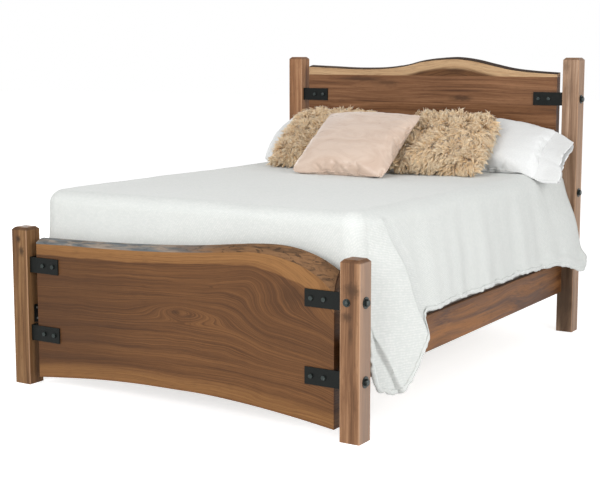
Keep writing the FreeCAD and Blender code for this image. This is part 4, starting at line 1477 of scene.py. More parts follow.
@dataclass
class PaddedBlock:
    """A mattress or foundation: a rounded block with soft sides, and cord sewn round its edges."""

    name: str
    node: str
    body: str
    slot: str
    cloth: PlainCloth
    half_x: float
    half_y: float
    low: float
    high: float
    corner: float
    low_edge: float
    top_edge: float
    belly: float
    seams: tuple[float, ...]
    cord: float = 0.0045
    fill: float = 1.0

    def outline(self, inset: Array, count: int = 56) -> Array:
        """Rounded rectangles: each corner is a quarter turn about its own centre, with straight sides.

        Args:
            inset: how far each ring is drawn in.
            count: points on each quarter.

        Returns:
            Rings of places on the plan.
        """
        share = np.linspace(0, 1, count)
        turn = ease((share - 0.36) / 0.28) * math.pi / 2
        up = np.clip(share / 0.36, 0, 1) - 1
        over = np.clip((share - 0.64) / 0.36, 0, 1)
        corner = np.maximum(self.corner - inset, 0.006)[:, None]
        reach_x = (self.half_x - inset)[:, None]
        reach_y = (self.half_y - inset)[:, None]
        x = reach_x - corner + corner * np.cos(turn) - (reach_x - corner) * over
        y = reach_y - corner + corner * np.sin(turn) + (reach_y - corner) * up
        rings = []
        for sx, sy, back in ((1, 1, False), (-1, 1, True), (-1, -1, False), (1, -1, True)):
            quarter = np.stack([sx * x, sy * y], -1)
            quarter = quarter[:, ::-1] if back else quarter
            rings.append(quarter[:, :-1])
        return np.concatenate(rings, 1)

    def profile(self) -> tuple[Array, Array]:
        """Heights and insets of the rings: a rounded foot, a side with a dip at each seam, a rounded top.

        Returns:
            The heights and the insets.
        """
        foot = np.linspace(0, math.pi / 2, 7)
        side = np.linspace(0, 1, 40)[1:-1]
        low_z = self.low + self.low_edge * (1 - np.cos(foot))
        low_in = self.low_edge * (1 - np.sin(foot))
        start = self.low + self.low_edge
        end = self.high - self.top_edge
        side_z = start + (end - start) * side
        dip = sum((hill(side_z, seam, 0.010) for seam in self.seams), 0 * side_z)
        side_in = 0.006 * np.minimum(dip, 1.0) + self.belly * (1 - np.sin(math.pi * side) ** 0.6)
        top_z = end + self.top_edge * np.sin(foot)
        top_in = self.belly + self.top_edge * (1 - np.cos(foot))
        return np.concatenate([low_z, side_z, top_z]), np.concatenate([low_in + self.belly, side_in, top_in])

    def build(self) -> Piece:
        """Stack the rings, close the block below and above, and lay cords along its edges.

        Returns:
            The block.
        """
        height, inset = self.profile()
        plan = self.outline(inset)
        count = plan.shape[1]
        points = np.concatenate([plan, np.broadcast_to(height[:, None, None], (len(height), count, 1))], -1)
        uneven = rolling(points, 41, 0.16) * 0.0012
        points[..., :2] -= np.sign(points[..., :2]) * (np.abs(uneven) * 0.7)[..., None]
        piece = make_piece(self.name, points, stack_faces(len(height), count), sharp_degrees=60.0)
        piece.data.materials.append(self.cloth.make())
        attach(piece, self.body)
        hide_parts(self.node)
        for number, seam in enumerate(self.seams):
            self.build_cord(number, seam, piece)
        log.info("%s made", self.name)
        return piece

    def build_cord(self, number: int, level: float, carrier: Piece) -> None:
        """A round cord in the dip of one seam.

        Args:
            number: counts the cords.
            level: the seam's height.
            carrier: the block it is sewn to.
        """
        plan = self.outline(np.array([self.cord * 0.9 + self.belly * 0.5]))[0]
        path = np.concatenate([plan, np.full((len(plan), 1), level)], 1)
        cord = make_cord(f"{self.name}_cord_{number + 1}", path, self.cord, 8)
        cord.data.materials.append(carrier.data.materials[0])
        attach(cord, self.body)


@dataclass(frozen=True)
class Form:
    """A cushion's points in its own plane, its points in place, and its faces."""

    own: Array
    placed: Array
    faces: Array


@dataclass
class Cushion:
    """A stuffed cushion: two cloths sewn edge to edge and blown up, then leant back on the bed.

    Its own plane is X across, Y up the lean and Z out of its front, as its CAD solid has it.
    """

    name: str
    node: str
    slot: str
    width: float
    height: float
    thickness: float
    centre: Place
    turn_degrees: float
    finish: object
    fill: float = 0.7
    lean_degrees: float = 33.0
    floor: float = 0.8312
    cells: int = 56
    pressure: float = 5.0
    steps: int = 26
    bend: float = 0.6
    spare: float = 0.05
    sagging: int = 0
    sag: float = 0.095
    droop: float = 0.0
    welt: float = 0.0024
    corner_cut: float = 0.03
    crown: float = 0.16
    uneven: float = 0.0012
    seed: int = 1

    def grid(self) -> Array:
        """The numbers of one cloth's points, one line for each row up the cushion."""
        columns = int(self.cells * max(1.0, self.width / self.height)) + 1
        return np.arange((self.cells + 1) * columns).reshape(-1, columns)

    def sewn_cloths(self) -> tuple[Array, Array]:
        """Two grids that share their rims: x and y fill the outline, and each cloth starts a little crowned.

        Returns:
            The points, and the faces.
        """
        count_y, count_x = self.grid().shape
        u = np.linspace(-1, 1, count_x)[None, :]
        v = np.linspace(-1, 1, count_y)[:, None]
        cut = 1 - self.corner_cut * np.abs(u * v) ** 8
        x = u * self.width / 2 * (1 + self.spare * (1 - v**2)) * cut
        y = v * self.height / 2 * (1 + self.spare * (1 - u**2) * self.width / self.height) * cut
        crown = (1 - u**4) * (1 - v**4) * self.thickness * self.crown
        flat = np.stack([x + 0 * v, y + 0 * u], -1)
        uneven = rolling(flat, self.seed, 0.09) * self.uneven
        front = np.concatenate([flat, (crown + uneven * (crown > 0))[..., None]], -1)
        back = np.concatenate([flat, (-crown + uneven * (crown > 0))[..., None]], -1)
        faces = grid_faces(count_y, count_x, False)
        both = np.concatenate([front.reshape(-1, 3), back.reshape(-1, 3)])
        size = count_x * count_y
        rim = np.zeros((count_y, count_x), bool)
        rim[0] = rim[-1] = True
        rim[:, 0] = rim[:, -1] = True
        number = np.arange(2 * size)
        number[size:][rim.ravel()] = np.arange(size)[rim.ravel()]
        used, tidy = np.unique(number, return_inverse=True)
        all_faces = np.concatenate([faces, (faces + size)[:, ::-1]])
        return both[used], tidy[all_faces]

    def blown_up(self, points: Array, faces: Array) -> Array:
        """Let cloth simulation fill the cushion with air, so that it wrinkles along its seams.

        Args:
            points: the flat cushion's points.
            faces: its faces.

        Returns:
            The filled cushion's points.
        """
        work = make_piece("cloth_at_work", points, [faces], sharp_degrees=180.0)
        cloth = work.modifiers.new("cloth", "CLOTH")
        settings = cloth.settings
        settings.quality = 5
        settings.mass = 0.25
        settings.tension_stiffness = 18.0
        settings.compression_stiffness = 12.0
        settings.shear_stiffness = 6.0
        settings.bending_stiffness = self.bend
        settings.use_pressure = True
        settings.uniform_pressure_force = self.pressure
        settings.effector_weights.gravity = 0.0
        cloth.collision_settings.use_collision = False
        cloth.point_cache.frame_start = 1
        cloth.point_cache.frame_end = self.steps + 1
        scene = bpy.context.scene
        moved = np.zeros(len(points) * 3)
        for step in range(1, self.steps + 1):
            scene.frame_set(step)
            work.evaluated_get(bpy.context.evaluated_depsgraph_get()).data.vertices.foreach_get("co", moved)
            if np.ptp(moved[2::3]) > self.thickness:
                break
        scene.frame_set(1)
        data = work.data
        bpy.data.objects.remove(work)
        bpy.data.meshes.remove(data)
        return moved.reshape(-1, 3)

    def fitted(self, points: Array) -> Array:
        """Scale the form to the cushion's width, height and thickness, and let its filling sink a little.

        Args:
            points: the form.

        Returns:
            The fitted form.
        """
        low, high = points.min(0), points.max(0)
        middle = (low + high) / 2
        wanted = np.array([self.width, self.height, self.thickness])
        fitted = (points - middle) * wanted / (high - low)
        share = fitted[:, 1] / (self.height / 2)
        fitted[:, 2] *= 1 - 0.12 * share - 0.06 * share**2
        outer = np.clip(fitted[:, 0] * self.sagging / self.width + 0.5, 0, 1) if self.sagging else 0 * share
        fitted[:, 1] -= (fitted[:, 1] / self.height + 0.5) * self.sag * outer**1.8
        return fitted

    def leant(self, points: Array) -> Array:
        """Lean the cushion back, turn it, stand it in place, and flatten it where it rests.

        Args:
            points: the fitted form.

        Returns:
            The points in place.
        """
        lean, turn = math.radians(self.lean_degrees), math.radians(self.turn_degrees)
        x, y, z = points.T
        back = y * math.cos(lean) - z * math.sin(lean)
        up = y * math.sin(lean) + z * math.cos(lean)
        right = x * math.cos(turn) - back * math.sin(turn)
        ahead = x * math.sin(turn) + back * math.cos(turn)
        placed = np.stack([right, ahead, up], -1) + np.array(self.centre)
        out = np.abs(placed[:, 0]) - 0.70
        placed[:, 2] -= self.droop * ease(out / 0.13) * ease((0.93 - placed[:, 2]) / 0.12)
        floor = self.floor - self.droop * ease((out - 0.02) / 0.08)
        sunk = np.maximum(floor - placed[:, 2], 0.0)
        placed[:, 2] += sunk
        placed[:, 1] -= 0.25 * sunk
        return placed

    def form(self) -> Form:
        """Returns:
            The form.
        """
        points, faces = self.sewn_cloths()
        shaped = self.blown_up(points, faces)
        own = self.fitted(shaped)
        return Form(own, self.leant(own), faces)

    def build(self) -> Piece:
        """Make the cushion and its seam.

        Returns:
            The cushion.
        """
        form = self.form()
        piece = make_piece(self.name, form.placed, [form.faces], sharp_degrees=75.0)
        smooth = piece.modifiers.new("smooth", "SUBSURF")
        smooth.levels = 1
        smooth.render_levels = 1
        piece.data.materials.append(self.finish.make())
        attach(piece, self.node)
        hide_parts(self.node)
        log.info("%s made, %d points", self.name, len(piece.data.vertices))
        self.dress(piece, form)
        return piece

    def dress(self, piece: Piece, form: Form) -> None:
        """Add what belongs on the cushion: here, a narrow sewn welt round its rim.

        Args:
            piece: the cushion.
            form: its form.
        """
        grid = self.grid()
        loop = np.concatenate([grid[0, :-1], grid[:-1, -1], grid[-1, :0:-1], grid[:0:-1, 0]])
        welt = make_cord(self.name + "_seam", form.placed[loop], self.welt, 6)
        welt.data.materials.append(piece.data.materials[0])
        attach(welt, self.node)


@dataclass
class SleepingPillow(Cushion):
    """A pillow in a case whose open end hangs past the filling."""

    cuff: float = 0.128
    cuff_rows: int = 22
    cuff_columns: int = 180
    cloth: float = 0.0016

    def dress(self, piece: Piece, form: Form) -> None:
        """Add the case's open end: a sleeve from the pillow's outer seam, wider and wavier towards its mouth.

        Round the sleeve, a goes once round an oval as long as the seam; out along it, b goes from 0 to 1. The
        place is the seam's place for a, moved out by b, by sine ripples that grow with b, and to the oval's
        two sides.

        Args:
            piece: the cushion.
            form: its form.
        """
        super().dress(piece, form)
        seam = form.own[self.grid()[:, -1 if self.sagging > 0 else 0]]
        a = np.linspace(0, 2 * math.pi, self.cuff_columns + 1)[:-1][None, :]
        b = np.linspace(0, 1, self.cuff_rows)[:, None]
        along = (0.5 - 0.5 * np.cos(a)) * (len(seam) - 1)
        base = np.stack([np.interp(along[0], np.arange(len(seam)), seam[:, axis]) for axis in range(3)], -1)
        ripple = 0.006 * np.sin(3.0 * a + 1.0) + 0.003 * np.sin(7.0 * a + 2.0 * b) + 0.0012 * np.sin(13.0 * a)
        base_x, base_y, base_z = base.T[:, None, :]
        height = np.ptp(seam[:, 1])
        middle = (seam[:, 1].max() + seam[:, 1].min()) / 2
        upward = (base_y - seam[:, 1].min()) / height
        y = middle + (base_y - middle) * (0.985 + 0.03 * b) + 0.003 * b * np.sin(9.0 * a)
        y = y - self.cuff * (0.50 * b + 0.25 * b**2) * upward
        roundness = np.sqrt(np.clip(1.05 - ((y - middle) / height * 2) ** 2, 0.02, 1))
        open_by = (0.0045 + 0.012 * b) * np.sin(a) * roundness
        x = base_x + self.sagging * (-0.006 + (self.cuff + ripple * 0.7) * b)
        z = base_z + open_by + ripple * b
        points = self.leant(np.stack([x, y, z], -1).reshape(-1, 3))
        faces = grid_faces(self.cuff_rows, self.cuff_columns, True)
        cuff = make_piece(self.name + "_open_end", points, [faces], sharp_degrees=ROUND)
        thick = cuff.modifiers.new("thickness", "SOLIDIFY")
        thick.thickness = self.cloth
        cuff.data.materials.append(piece.data.materials[0])
        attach(cuff, self.node)


@dataclass
class ShagCushion(Cushion):
    """A cushion under long curled locks."""

    locks: int = 9000
    in_tuft: int = 5
    lock_length: float = 0.058
    lock_width: float = 0.0026
    lock_rings: int = 5
    pile: Fleece = field(default_factory=lambda: Fleece("tan_curled_pile"))

    def dress(self, piece: Piece, form: Form) -> None:
        """Grow two coats of locks from the front, and fewer from the back.

        Args:
            piece: the cushion; not used.
            form: its form.
        """
        corners = form.placed[form.faces]
        across = np.cross(corners[:, 2] - corners[:, 0], corners[:, 3] - corners[:, 1])
        area = np.linalg.norm(across, axis=1) / 2
        facing = across / np.maximum(np.linalg.norm(across, axis=1, keepdims=True), 1e-12)
        is_front = form.own[form.faces][:, :, 2].mean(1) > 0
        coats = (("front", is_front, 1), ("front_under", is_front, 1), ("back", ~is_front, 2))
        for name, wanted, thinner in coats:
            pile = self.grow(corners[wanted], facing[wanted], area[wanted], self.locks // thinner, name)
            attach(pile, self.node)

    def tufts(self, corners: Array, facing: Array, area: Array, count: int,
              dice: np.random.Generator) -> tuple[Array, ...]:
        """Scatter tufts over the cloth. Each has its own way: out, down, and a drift its neighbours share.

        Args:
            corners: the corners of the faces that carry them.
            facing: the way each face looks.
            area: each face's area.
            count: how many tufts.
            dice: what draws the random numbers.

        Returns:
            Each tuft's root, the cloth's facing there, its way, and two ways square to it.
        """
        chosen = dice.choice(len(area), count, p=area / area.sum())
        s, t = dice.random((2, count, 1))
        quad = corners[chosen]
        root = (quad[:, 0] * (1 - s) + quad[:, 1] * s) * (1 - t) + (quad[:, 3] * (1 - s) + quad[:, 2] * s) * t
        normal = facing[chosen]
        drift = np.stack([rolling(root, self.seed * 7 + axis, 0.10) for axis in range(3)], -1)
        way = normal * 0.58 + drift * 0.46 + dice.normal(size=(count, 3)) * 0.20 + np.array([0.0, 0.0, -0.42])
        way /= np.linalg.norm(way, axis=1, keepdims=True)
        outward = (way * normal).sum(1, keepdims=True)
        way = np.where(outward < 0.2, way + normal * (0.35 - outward), way)
        side = np.cross(way, dice.normal(size=(count, 3)))
        side /= np.linalg.norm(side, axis=1, keepdims=True)
        return root, normal, way, side, np.cross(way, side)

    def grow(self, corners: Array, facing: Array, area: Array, count: int, name: str) -> Piece:
        """Tufts of wavy locks: a tuft's locks start apart, wind about its way in an opening curl, and meet.

        Args:
            corners: the corners of the faces that carry them.
            facing: the way each face looks.
            area: each face's area.
            count: how many locks.
            name: which side of the cushion.

        Returns:
            One piece that holds all of the locks.
        """
        dice = np.random.default_rng(self.seed * 10 + len(name))
        tufts = count // self.in_tuft
        of = np.arange(count) % tufts
        root, normal, way, side, other = (
            part[of][:, None] for part in self.tufts(corners, facing, area, tufts, dice))
        share = np.linspace(0, 1, self.lock_rings)[None, :, None]
        length = (self.lock_length * dice.uniform(0.65, 1.15, (tufts, 1, 1)))[of]
        length = length * dice.uniform(0.8, 1.05, (count, 1, 1))
        apart = dice.normal(size=(2, count, 1, 1)) * 0.0065
        curl = 0.0056 * share**0.7 * dice.uniform(0.6, 1.3, (tufts, 1, 1))[of]
        phase = dice.uniform(0, 2 * math.pi, (tufts, 1, 1))[of]
        phase = phase + share * dice.uniform(2.5, 5.5, (tufts, 1, 1))[of]
        phase = phase + dice.normal(size=(count, 1, 1)) * 0.35
        line = root - normal * 0.002 + way * length * share
        line = line + (side * apart[0] + other * apart[1]) * (1 - 0.75 * share)
        line = line + (side * np.cos(phase) + other * np.sin(phase)) * curl
        line[..., 2:3] -= 0.012 * share**2
        width = self.lock_width * (1 - share) ** 0.55 * (0.75 + 0.5 * np.sin(math.pi * share))
        width = width * dice.uniform(0.7, 1.25, (count, 1, 1))
        spin = (np.arange(3) * 2 * math.pi / 3)[:, None]
        section = side[:, None] * np.cos(spin) + other[:, None] * np.sin(spin)
        body = line[:, :-1, None] + width[:, :-1, None] * section
        points = np.concatenate([body.reshape(count, -1, 3), line[:, -1:]], 1)
        points[..., 2] = np.maximum(points[..., 2], self.floor - 0.0005)
        per = points.shape[1]
        end = per - 1
        tip = [[end - 3, end - 2, end], [end - 2, end - 1, end], [end - 1, end - 3, end]]
        ends = np.array([*tip, [2, 1, 0]])
        shift = (np.arange(count) * per)[:, None, None]
        quads = (grid_faces(self.lock_rings - 1, 3, True)[None] + shift).reshape(-1, 4)
        triangles = (ends[None] + shift).reshape(-1, 3)
        pile = make_piece(f"{self.name}_pile_{name}", points, [quads, triangles], sharp_degrees=180.0)
        along = np.append(np.repeat(np.linspace(0, 1, self.lock_rings)[:-1], 3), 1.0)
        keep(pile, "lock_share", np.broadcast_to(along, (count, per)))
        tint = dice.random((tufts, 1))[of] * 0.6 + dice.random((count, 1)) * 0.4
        keep(pile, "lock_tint", np.broadcast_to(tint, (count, per)))
        pile.data.materials.append(self.pile.make())
        return pile


# The bed's parts


@dataclass
class Timber:
    """The posts, boards and rails."""

    slab_length: float = 1.460
    slab_thickness: float = 0.045
    foot_front: float = -1.124
    head_front: float = 1.084
    foot_low: float = 0.034
    foot_depth: float = 0.663
    foot_arch: float = 0.050
    glue_line: float = 1.290
    crest: float = 0.090
    bark_rise: float = 0.009
    foot_shares: Table = (
        (-0.50, 0.879, 0.903), (-0.38, 0.887, 0.908), (-0.23, 0.893, 0.916), (-0.09, 0.904, 0.930),
        (0.06, 0.925, 0.952), (0.18, 0.948, 0.980), (0.26, 0.962, 0.997), (0.35, 0.944, 0.998),
        (0.41, 0.908, 0.974), (0.46, 0.850, 0.935), (0.50, 0.778, 0.887))
    arch_shares: Table = (
        (-0.50, 0.00), (-0.40, 0.32), (-0.27, 0.68), (-0.13, 0.90), (0.00, 0.97),
        (0.08, 1.00), (0.20, 0.87), (0.33, 0.58), (0.42, 0.30), (0.50, 0.00))
    crest_shares: Table = (
        (-0.50, 0.48), (-0.40, 0.42), (-0.28, 0.35), (-0.15, 0.42), (-0.085, 0.56), (-0.02, 0.81),
        (0.06, 0.96), (0.115, 1.00), (0.19, 0.87), (0.26, 0.62), (0.335, 0.37), (0.41, 0.24), (0.50, 0.15))

    def footboard(self) -> Piece:
        """The footboard, with its eye and sweeping grain.

        Returns:
            The footboard.
        """
        low = tuple((x, self.foot_low + z * self.foot_arch) for x, z in self.arch_shares)
        front = tuple((x, self.foot_low + z * self.foot_depth) for x, z, _ in self.foot_shares)
        back = tuple((x, self.foot_low + z * self.foot_depth) for x, _, z in self.foot_shares)
        y = self.foot_front
        finish = SlabFinish("walnut_footboard", right_sap=0.024, dark_patches=(
            DarkPatch((0.006, y, 0.396), (0.032, 0.05, 0.010), 0.6),
            DarkPatch((0.070, y, 0.388), (0.026, 0.05, 0.006), 0.4),
            DarkPatch((0.179, y, 0.515), (0.015, 0.05, 0.0035), 0.7),
            DarkPatch((0.54, y, 0.515), (0.08, 0.05, 0.06), 0.35)))
        board = NaturalEdgeBoard(
            "footboard_walnut", "footboard_slab", finish, "walnut_slabs", self.slab_length, front=y,
            thickness=self.slab_thickness, low_edge=low, front_edge=front, back_edge=back,
            rings=footboard_rings)
        return board.build()

    def crest_board(self) -> Piece:
        """The headboard's top board, pale along its bark edge.

        Returns:
            The board.
        """
        low = tuple((x, self.glue_line) for x in (-0.5, -0.2, 0.2, 0.5))
        front = tuple((x, self.glue_line + z * self.crest) for x, z in self.crest_shares)
        back = tuple((x, z + self.bark_rise) for x, z in front)
        y = self.head_front
        finish = SlabFinish(
            "walnut_crest", shade=0.0, top_sap=0.050, sap_blur=0.011, low_sap=-0.04, sap=srgb(198, 166, 128),
            sap_deep=srgb(150, 110, 74), bark_light=srgb(60, 46, 36), bark_pale=srgb(84, 66, 50),
            bark_warm=srgb(54, 40, 32), dark_patches=(
                DarkPatch((-0.05, y, 1.308), (0.05, 0.05, 0.012), 0.5),
                DarkPatch((0.17, y, 1.318), (0.08, 0.05, 0.018), 0.55)))
        board = NaturalEdgeBoard(
            "headboard_crest", "headboard_top_board", finish, "walnut_slabs", self.slab_length, front=y,
            thickness=self.slab_thickness, low_edge=low, front_edge=front, back_edge=back, rings=crest_rings,
            face_rows=18, edge_rows=12, roughness=0.0008)
        return board.build()

    def finishes(self) -> dict[str, Walnut]:
        """The finish of each post, rail and flat board, by node.

        Returns:
            A finish for each node's name.
        """
        tawny = dict(dark=srgb(62, 39, 21), middle=srgb(106, 74, 45), light=srgb(144, 110, 74))
        pale = dict(dark=srgb(84, 56, 36), middle=srgb(130, 94, 66), light=srgb(174, 137, 104))
        rosy = dict(dark=srgb(92, 60, 38), middle=srgb(144, 102, 71), light=srgb(188, 146, 110))
        grey = dict(dark=srgb(104, 76, 56), middle=srgb(152, 122, 98), light=srgb(196, 166, 142),
                    pale_face=0.0)
        foot_left, foot_right = (-0.808, -1.104, 0.678), (0.808, -1.104, 0.678)
        head_left, head_right = (-0.808, 1.104, 1.387), (0.808, 1.104, 1.387)
        upright, along, across = Axis.UPRIGHT, Axis.ALONG, Axis.ACROSS
        return {
            "foot_post_left": Walnut(
                "walnut_post_1", upright, **tawny, shift=(3.1, 0.4, 0.2), post=foot_left, dark_patches=(
                    DarkPatch((-0.812, -1.146, 0.627), (0.018, 0.06, 0.020), 0.9),
                    DarkPatch((-0.796, -1.146, 0.575), (0.020, 0.06, 0.026), 0.8))),
            "foot_post_right": Walnut(
                "walnut_post_2", upright, **pale, shift=(1.3, 2.2, 5.0), post=foot_right, dark_patches=(
                    DarkPatch((0.815, -1.146, 0.566), (0.045, 0.05, 0.034), 0.75),
                    DarkPatch((0.795, -1.146, 0.468), (0.030, 0.05, 0.022), 0.75),
                    DarkPatch((0.812, -1.146, 0.400), (0.012, 0.05, 0.040), 0.5))),
            "head_post_left": Walnut("walnut_post_3", upright, **rosy, shift=(5.7, 1.2, 1.0), post=head_left),
            "head_post_right": Walnut(
                "walnut_post_4", upright, **grey, shift=(2.9, 4.4, 3.0), post=head_right, dark_patches=(
                    DarkPatch((0.78, 1.062, 1.34), (0.03, 0.03, 0.04), 0.4),
                    DarkPatch((0.80, 1.062, 1.22), (0.02, 0.03, 0.09), 0.4),
                    # painted shade: this patch darkens the lower front of the post, below the coverlet
                    DarkPatch((0.79, 1.062, 0.16), (0.12, 0.03, 0.34), 0.94))),
            "side_rail_left": Walnut("walnut_rail_1", along, shift=(0.3, 2.0, 7.7), wander=0.09),
            # darker colours than the other rail: partly the rail's own figure, partly painted shade
            "side_rail_right": Walnut(
                "walnut_rail_2", along, shift=(6.3, 0.7, 1.7), dark=srgb(36, 18, 7), middle=srgb(86, 53, 29),
                light=srgb(142, 96, 56), wander=0.12, figure=1.1),
            "headboard_bottom_board": Walnut("walnut_board_1", across, shift=(0.7, 0.4, 3.3)),
            "headboard_lower_board": Walnut(
                "walnut_board_2", across, shift=(4.1, 0.2, 9.1), light=srgb(152, 109, 76)),
            "headboard_middle_board": Walnut(
                "walnut_board_3", across, shift=(1.9, 0.6, 5.9), middle=srgb(114, 77, 50),
                light=srgb(152, 110, 78), dark_patches=(
                    DarkPatch((0.205, 1.084, 1.174), (0.085, 0.05, 0.020), 0.75),
                    DarkPatch((-0.40, 1.084, 1.268), (0.16, 0.05, 0.018), 0.6),
                    DarkPatch((-0.24, 1.084, 1.25), (0.10, 0.05, 0.022), 0.45))),
        }

    def dress(self) -> None:
        """Give each timber node that keeps its own shape its finish."""
        for node, finish in self.finishes().items():
            dress_node(node, finish.make())
        log.info("posts, rails and flat boards finished")


def dress_node(node: str, material: Material) -> None:
    """Put a material on a CAD node that keeps its shape.

    Args:
        node: the node's name.
        material: its material.
    """
    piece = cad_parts[node]
    piece.data.materials.clear()
    piece.data.materials.append(material)


@dataclass
class Ironwork:
    """The brackets, bolts, washers, nuts and screws."""

    def dress(self) -> None:
        """Give all steel nodes their finishes."""
        plate = BlackSteel("black_steel_plate").make()
        bolts = BlackSteel("black_steel_bolts", srgb(54, 60, 59), srgb(110, 116, 114), 0.30, 0.8).make()
        zinc = Zinc("zinc_screws").make()
        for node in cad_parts:
            if "_bracket_" in node or node.startswith("rail_plate_") and not node.endswith("screws"):
                dress_node(node, plate)
            elif "bolt" in node or "washer" in node or "nut" in node:
                dress_node(node, bolts)
            elif node.endswith("screws"):
                dress_node(node, zinc)
        log.info("steel finished")


@dataclass
class Supports:
    """The slats, cleats, centre beam and legs."""

    def dress(self) -> None:
        """Give the support timbers their finishes."""
        across = PaleWood("pale_slat_wood", Axis.ACROSS).make()
        along = PaleWood("pale_beam_wood", Axis.ALONG).make()
        upright = PaleWood("pale_leg_wood", Axis.UPRIGHT).make()
        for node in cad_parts:
            if node.startswith("slat_") and not node.endswith("screws"):
                dress_node(node, across)
            elif node in ("cleat_left", "cleat_right", "centre_beam"):
                dress_node(node, along)
            elif node.startswith("centre_leg"):
                dress_node(node, upright)
        log.info("supports finished")


@dataclass
class Bedding:
    """The foundation, mattress, coverlet, pillows and cushions."""

    lean_degrees: float = 33.0
    floor: float = 0.8306
    lift: float = 0.010

    def centre(self, x: float, y: float, height: float) -> Place:
        """The middle of a leaning cushion: its lower edge is just over the bed."""
        return x, y, self.floor + self.lift + height / 2 * math.sin(math.radians(self.lean_degrees))

    def blocks(self) -> list[PaddedBlock]:
        """The foundation and the mattress.

        Returns:
            The two blocks, still to be built.
        """
        ticking = PlainCloth("foundation_cloth", srgb(214, 211, 205), srgb(190, 187, 180), crumple=0.06)
        knit = PlainCloth("mattress_cloth", srgb(228, 226, 222), srgb(205, 203, 198), crumple=0.12)
        return [
            PaddedBlock("foundation_upholstery", "foundation", "foundation", "foundation_ticking", ticking,
                        half_x=0.755, half_y=1.0, low=0.261, high=0.490, corner=0.040, low_edge=0.004,
                        top_edge=0.008, belly=0.0015, seams=(0.272, 0.478)),
            PaddedBlock("mattress_upholstery", "mattress", "bedding", "mattress_ticking", knit,
                        half_x=0.762, half_y=1.016, low=0.490, high=0.820, corner=0.070, low_edge=0.022,
                        top_edge=0.060, belly=0.002, seams=(0.520, 0.742), fill=0.9),
        ]

    def cushions(self) -> list[Cushion]:
        """The two sleeping pillows, two shag cushions and the satin cushion.

        Returns:
            The five, still to be built.
        """
        cotton = PlainCloth("white_pillow_cotton", srgb(223, 224, 223), srgb(208, 209, 209), crumple=0.3)
        under = PlainCloth("pile_backing", srgb(196, 166, 126), srgb(178, 148, 110))
        pillow = dict(slot="white_pillowcase", height=0.440, thickness=0.150, turn_degrees=0.0, finish=cotton,
                      bend=1.2, droop=0.055, fill=0.6)
        shag = dict(slot="tan_shag", width=0.430, height=0.430, thickness=0.100, turn_degrees=6.0,
                    finish=under, cells=40)
        return [
            Cushion(
                "sleeping_pillow_left_case", "sleeping_pillow_left", centre=self.centre(-0.440, 0.862, 0.440),
                width=0.725, sagging=-1, sag=0.02, spare=0.11, seed=2, **pillow),
            SleepingPillow(
                "sleeping_pillow_right_case", "sleeping_pillow_right",
                centre=self.centre(0.452, 0.862, 0.440), width=0.660, sagging=1, spare=0.04, seed=3,
                **pillow),
            ShagCushion(
                "shag_left_backing", "shag_cushion_left", centre=self.centre(-0.3475, 0.6177, 0.488), seed=4,
                **shag),
            ShagCushion(
                "shag_right_backing", "shag_cushion_right", centre=self.centre(0.328, 0.6177, 0.488), seed=5,
                **shag),
            Cushion(
                "satin_cushion_cover", "satin_cushion", "pink_satin", width=0.500, height=0.488,
                thickness=0.150, centre=self.centre(-0.008, 0.3441, 0.488), turn_degrees=2.0,
                finish=Satin("pale_pink_satin"), cells=64, bend=0.35, seed=6),
        ]

    def build(self) -> None:
        """Make all of the bedding."""
        for block in self.blocks():
            block.build()
        Coverlet().build()
        for cushion in self.cushions():
            cushion.build()


# The studio


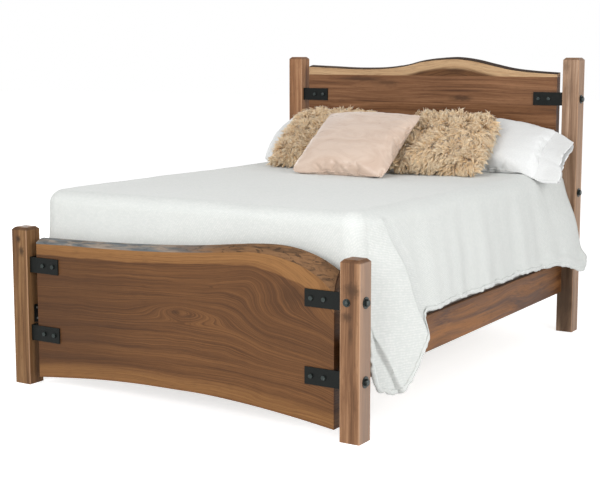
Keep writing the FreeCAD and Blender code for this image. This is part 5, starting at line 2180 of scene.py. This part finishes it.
@dataclass
class Studio:
    """A pale floor, soft lamps and the photograph's camera."""

    camera_place: Place = (3.016, -5.028, 1.414)
    yaw_degrees: float = 31.92
    pitch_degrees: float = 7.55
    lens: float = 75.98
    shift_down: float = -0.05
    sensor: float = 36.0
    floor_reach: float = 30.0
    floor_glow: float = 0.62
    world_even: float = 0.55
    world_seen: float = 0.45

    def build_floor(self) -> None:
        """A wide flat floor that the camera sees as white, but for the bed's shadow."""
        corners = np.array([[-1, -1, 0], [1, -1, 0], [1, 1, 0], [-1, 1, 0]]) * self.floor_reach
        floor = make_piece("studio_floor", corners, [np.array([[0, 1, 2, 3]])])
        mix = Mixer("studio_floor")
        grain = mix.noise(mix.place(), 3.0, 2.0, 0.5)
        colour = mix.ramp(grain, [(0.3, (0.80, 0.80, 0.80)), (0.7, (0.81, 0.81, 0.81))])
        material = mix.finish(Base_Color=colour, Roughness=0.9, Specular_IOR_Level=0.0)
        strength = mix.sum("MULTIPLY", mix.in_sight(), self.floor_glow)
        glow = mix.fill(mix.new("Emission"), {"Color": (1, 1, 1), "Strength": strength})
        both = mix.fill(mix.new("AddShader"), {0: mix.shader.outputs[0], 1: glow[0]})
        mix.put(mix.output.inputs[0], both[0])
        floor.data.materials.append(material)

    def build_world(self) -> None:
        """An even pale world, plain white where the camera looks straight at it."""
        world = bpy.data.worlds.new("studio")
        bpy.context.scene.world = world
        world.use_nodes = True
        nodes = Nodes(world.node_tree)
        level = nodes.sum("MULTIPLY_ADD", nodes.in_sight(), self.world_seen, self.world_even)
        nodes.fill(nodes.tree.nodes["Background"], {"Color": (1, 1, 1), "Strength": level})

    def add_lamp(self, name: str, place: Place, aim: Place, size: float, power: float) -> None:
        """A square soft lamp.

        Args:
            name: the lamp's name.
            place: where it stands.
            aim: what it points at.
            size: its side.
            power: its strength in watts.
        """
        data = bpy.data.lights.new(name, "AREA")
        data.shape = "SQUARE"
        data.size = size
        data.energy = power
        lamp = bpy.data.objects.new(name, data)
        bpy.context.scene.collection.objects.link(lamp)
        way = np.array(aim) - np.array(place)
        lamp.location = place
        flat = math.hypot(way[0], way[1])
        lamp.rotation_euler = (math.atan2(flat, -way[2]), 0.0, math.atan2(-way[0], way[1]))

    def build_lamps(self) -> None:
        """A large key lamp at the foot, a wide top lamp, and fill lamps on the right and behind."""
        self.add_lamp("key", (0.2, -6.1, 2.5), (0.1, -0.6, 0.5), size=3.2, power=208.0)
        self.add_lamp("top", (0.2, 0.4, 4.6), (0.0, 0.1, 0.5), size=4.0, power=8.0)
        self.add_lamp("rear", (-5.2, 1.6, 1.7), (0.0, 0.0, 0.6), size=2.8, power=96.0)
        self.add_lamp("fill", (5.2, -1.8, 2.2), (0.3, 0.0, 0.6), size=3.2, power=158.0)

    def build_camera(self) -> None:
        """The camera that took the photograph, as far as its lines tell."""
        data = bpy.data.cameras.new("photograph")
        data.lens = self.lens
        data.sensor_width = self.sensor
        data.shift_y = self.shift_down
        data.clip_end = 100.0
        camera = bpy.data.objects.new("photograph", data)
        bpy.context.scene.collection.objects.link(camera)
        camera.location = self.camera_place
        camera.rotation_euler = (math.radians(90.0 - self.pitch_degrees), 0.0, math.radians(self.yaw_degrees))
        bpy.context.scene.camera = camera

    def build(self) -> None:
        """Make the studio."""
        self.build_floor()
        self.build_world()
        self.build_lamps()
        self.build_camera()
        bpy.context.scene.view_settings.view_transform = "Standard"


def main() -> None:
    """Build the bed's looks in order."""
    logging.basicConfig(level=logging.INFO, format="%(name)s: %(message)s")
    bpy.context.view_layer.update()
    Studio().build()
    timber = Timber()
    timber.footboard()
    timber.crest_board()
    timber.dress()
    Ironwork().dress()
    Supports().dress()
    Bedding().build()
    log.info("sizes noted")


if __name__ == "__main__":
    main()
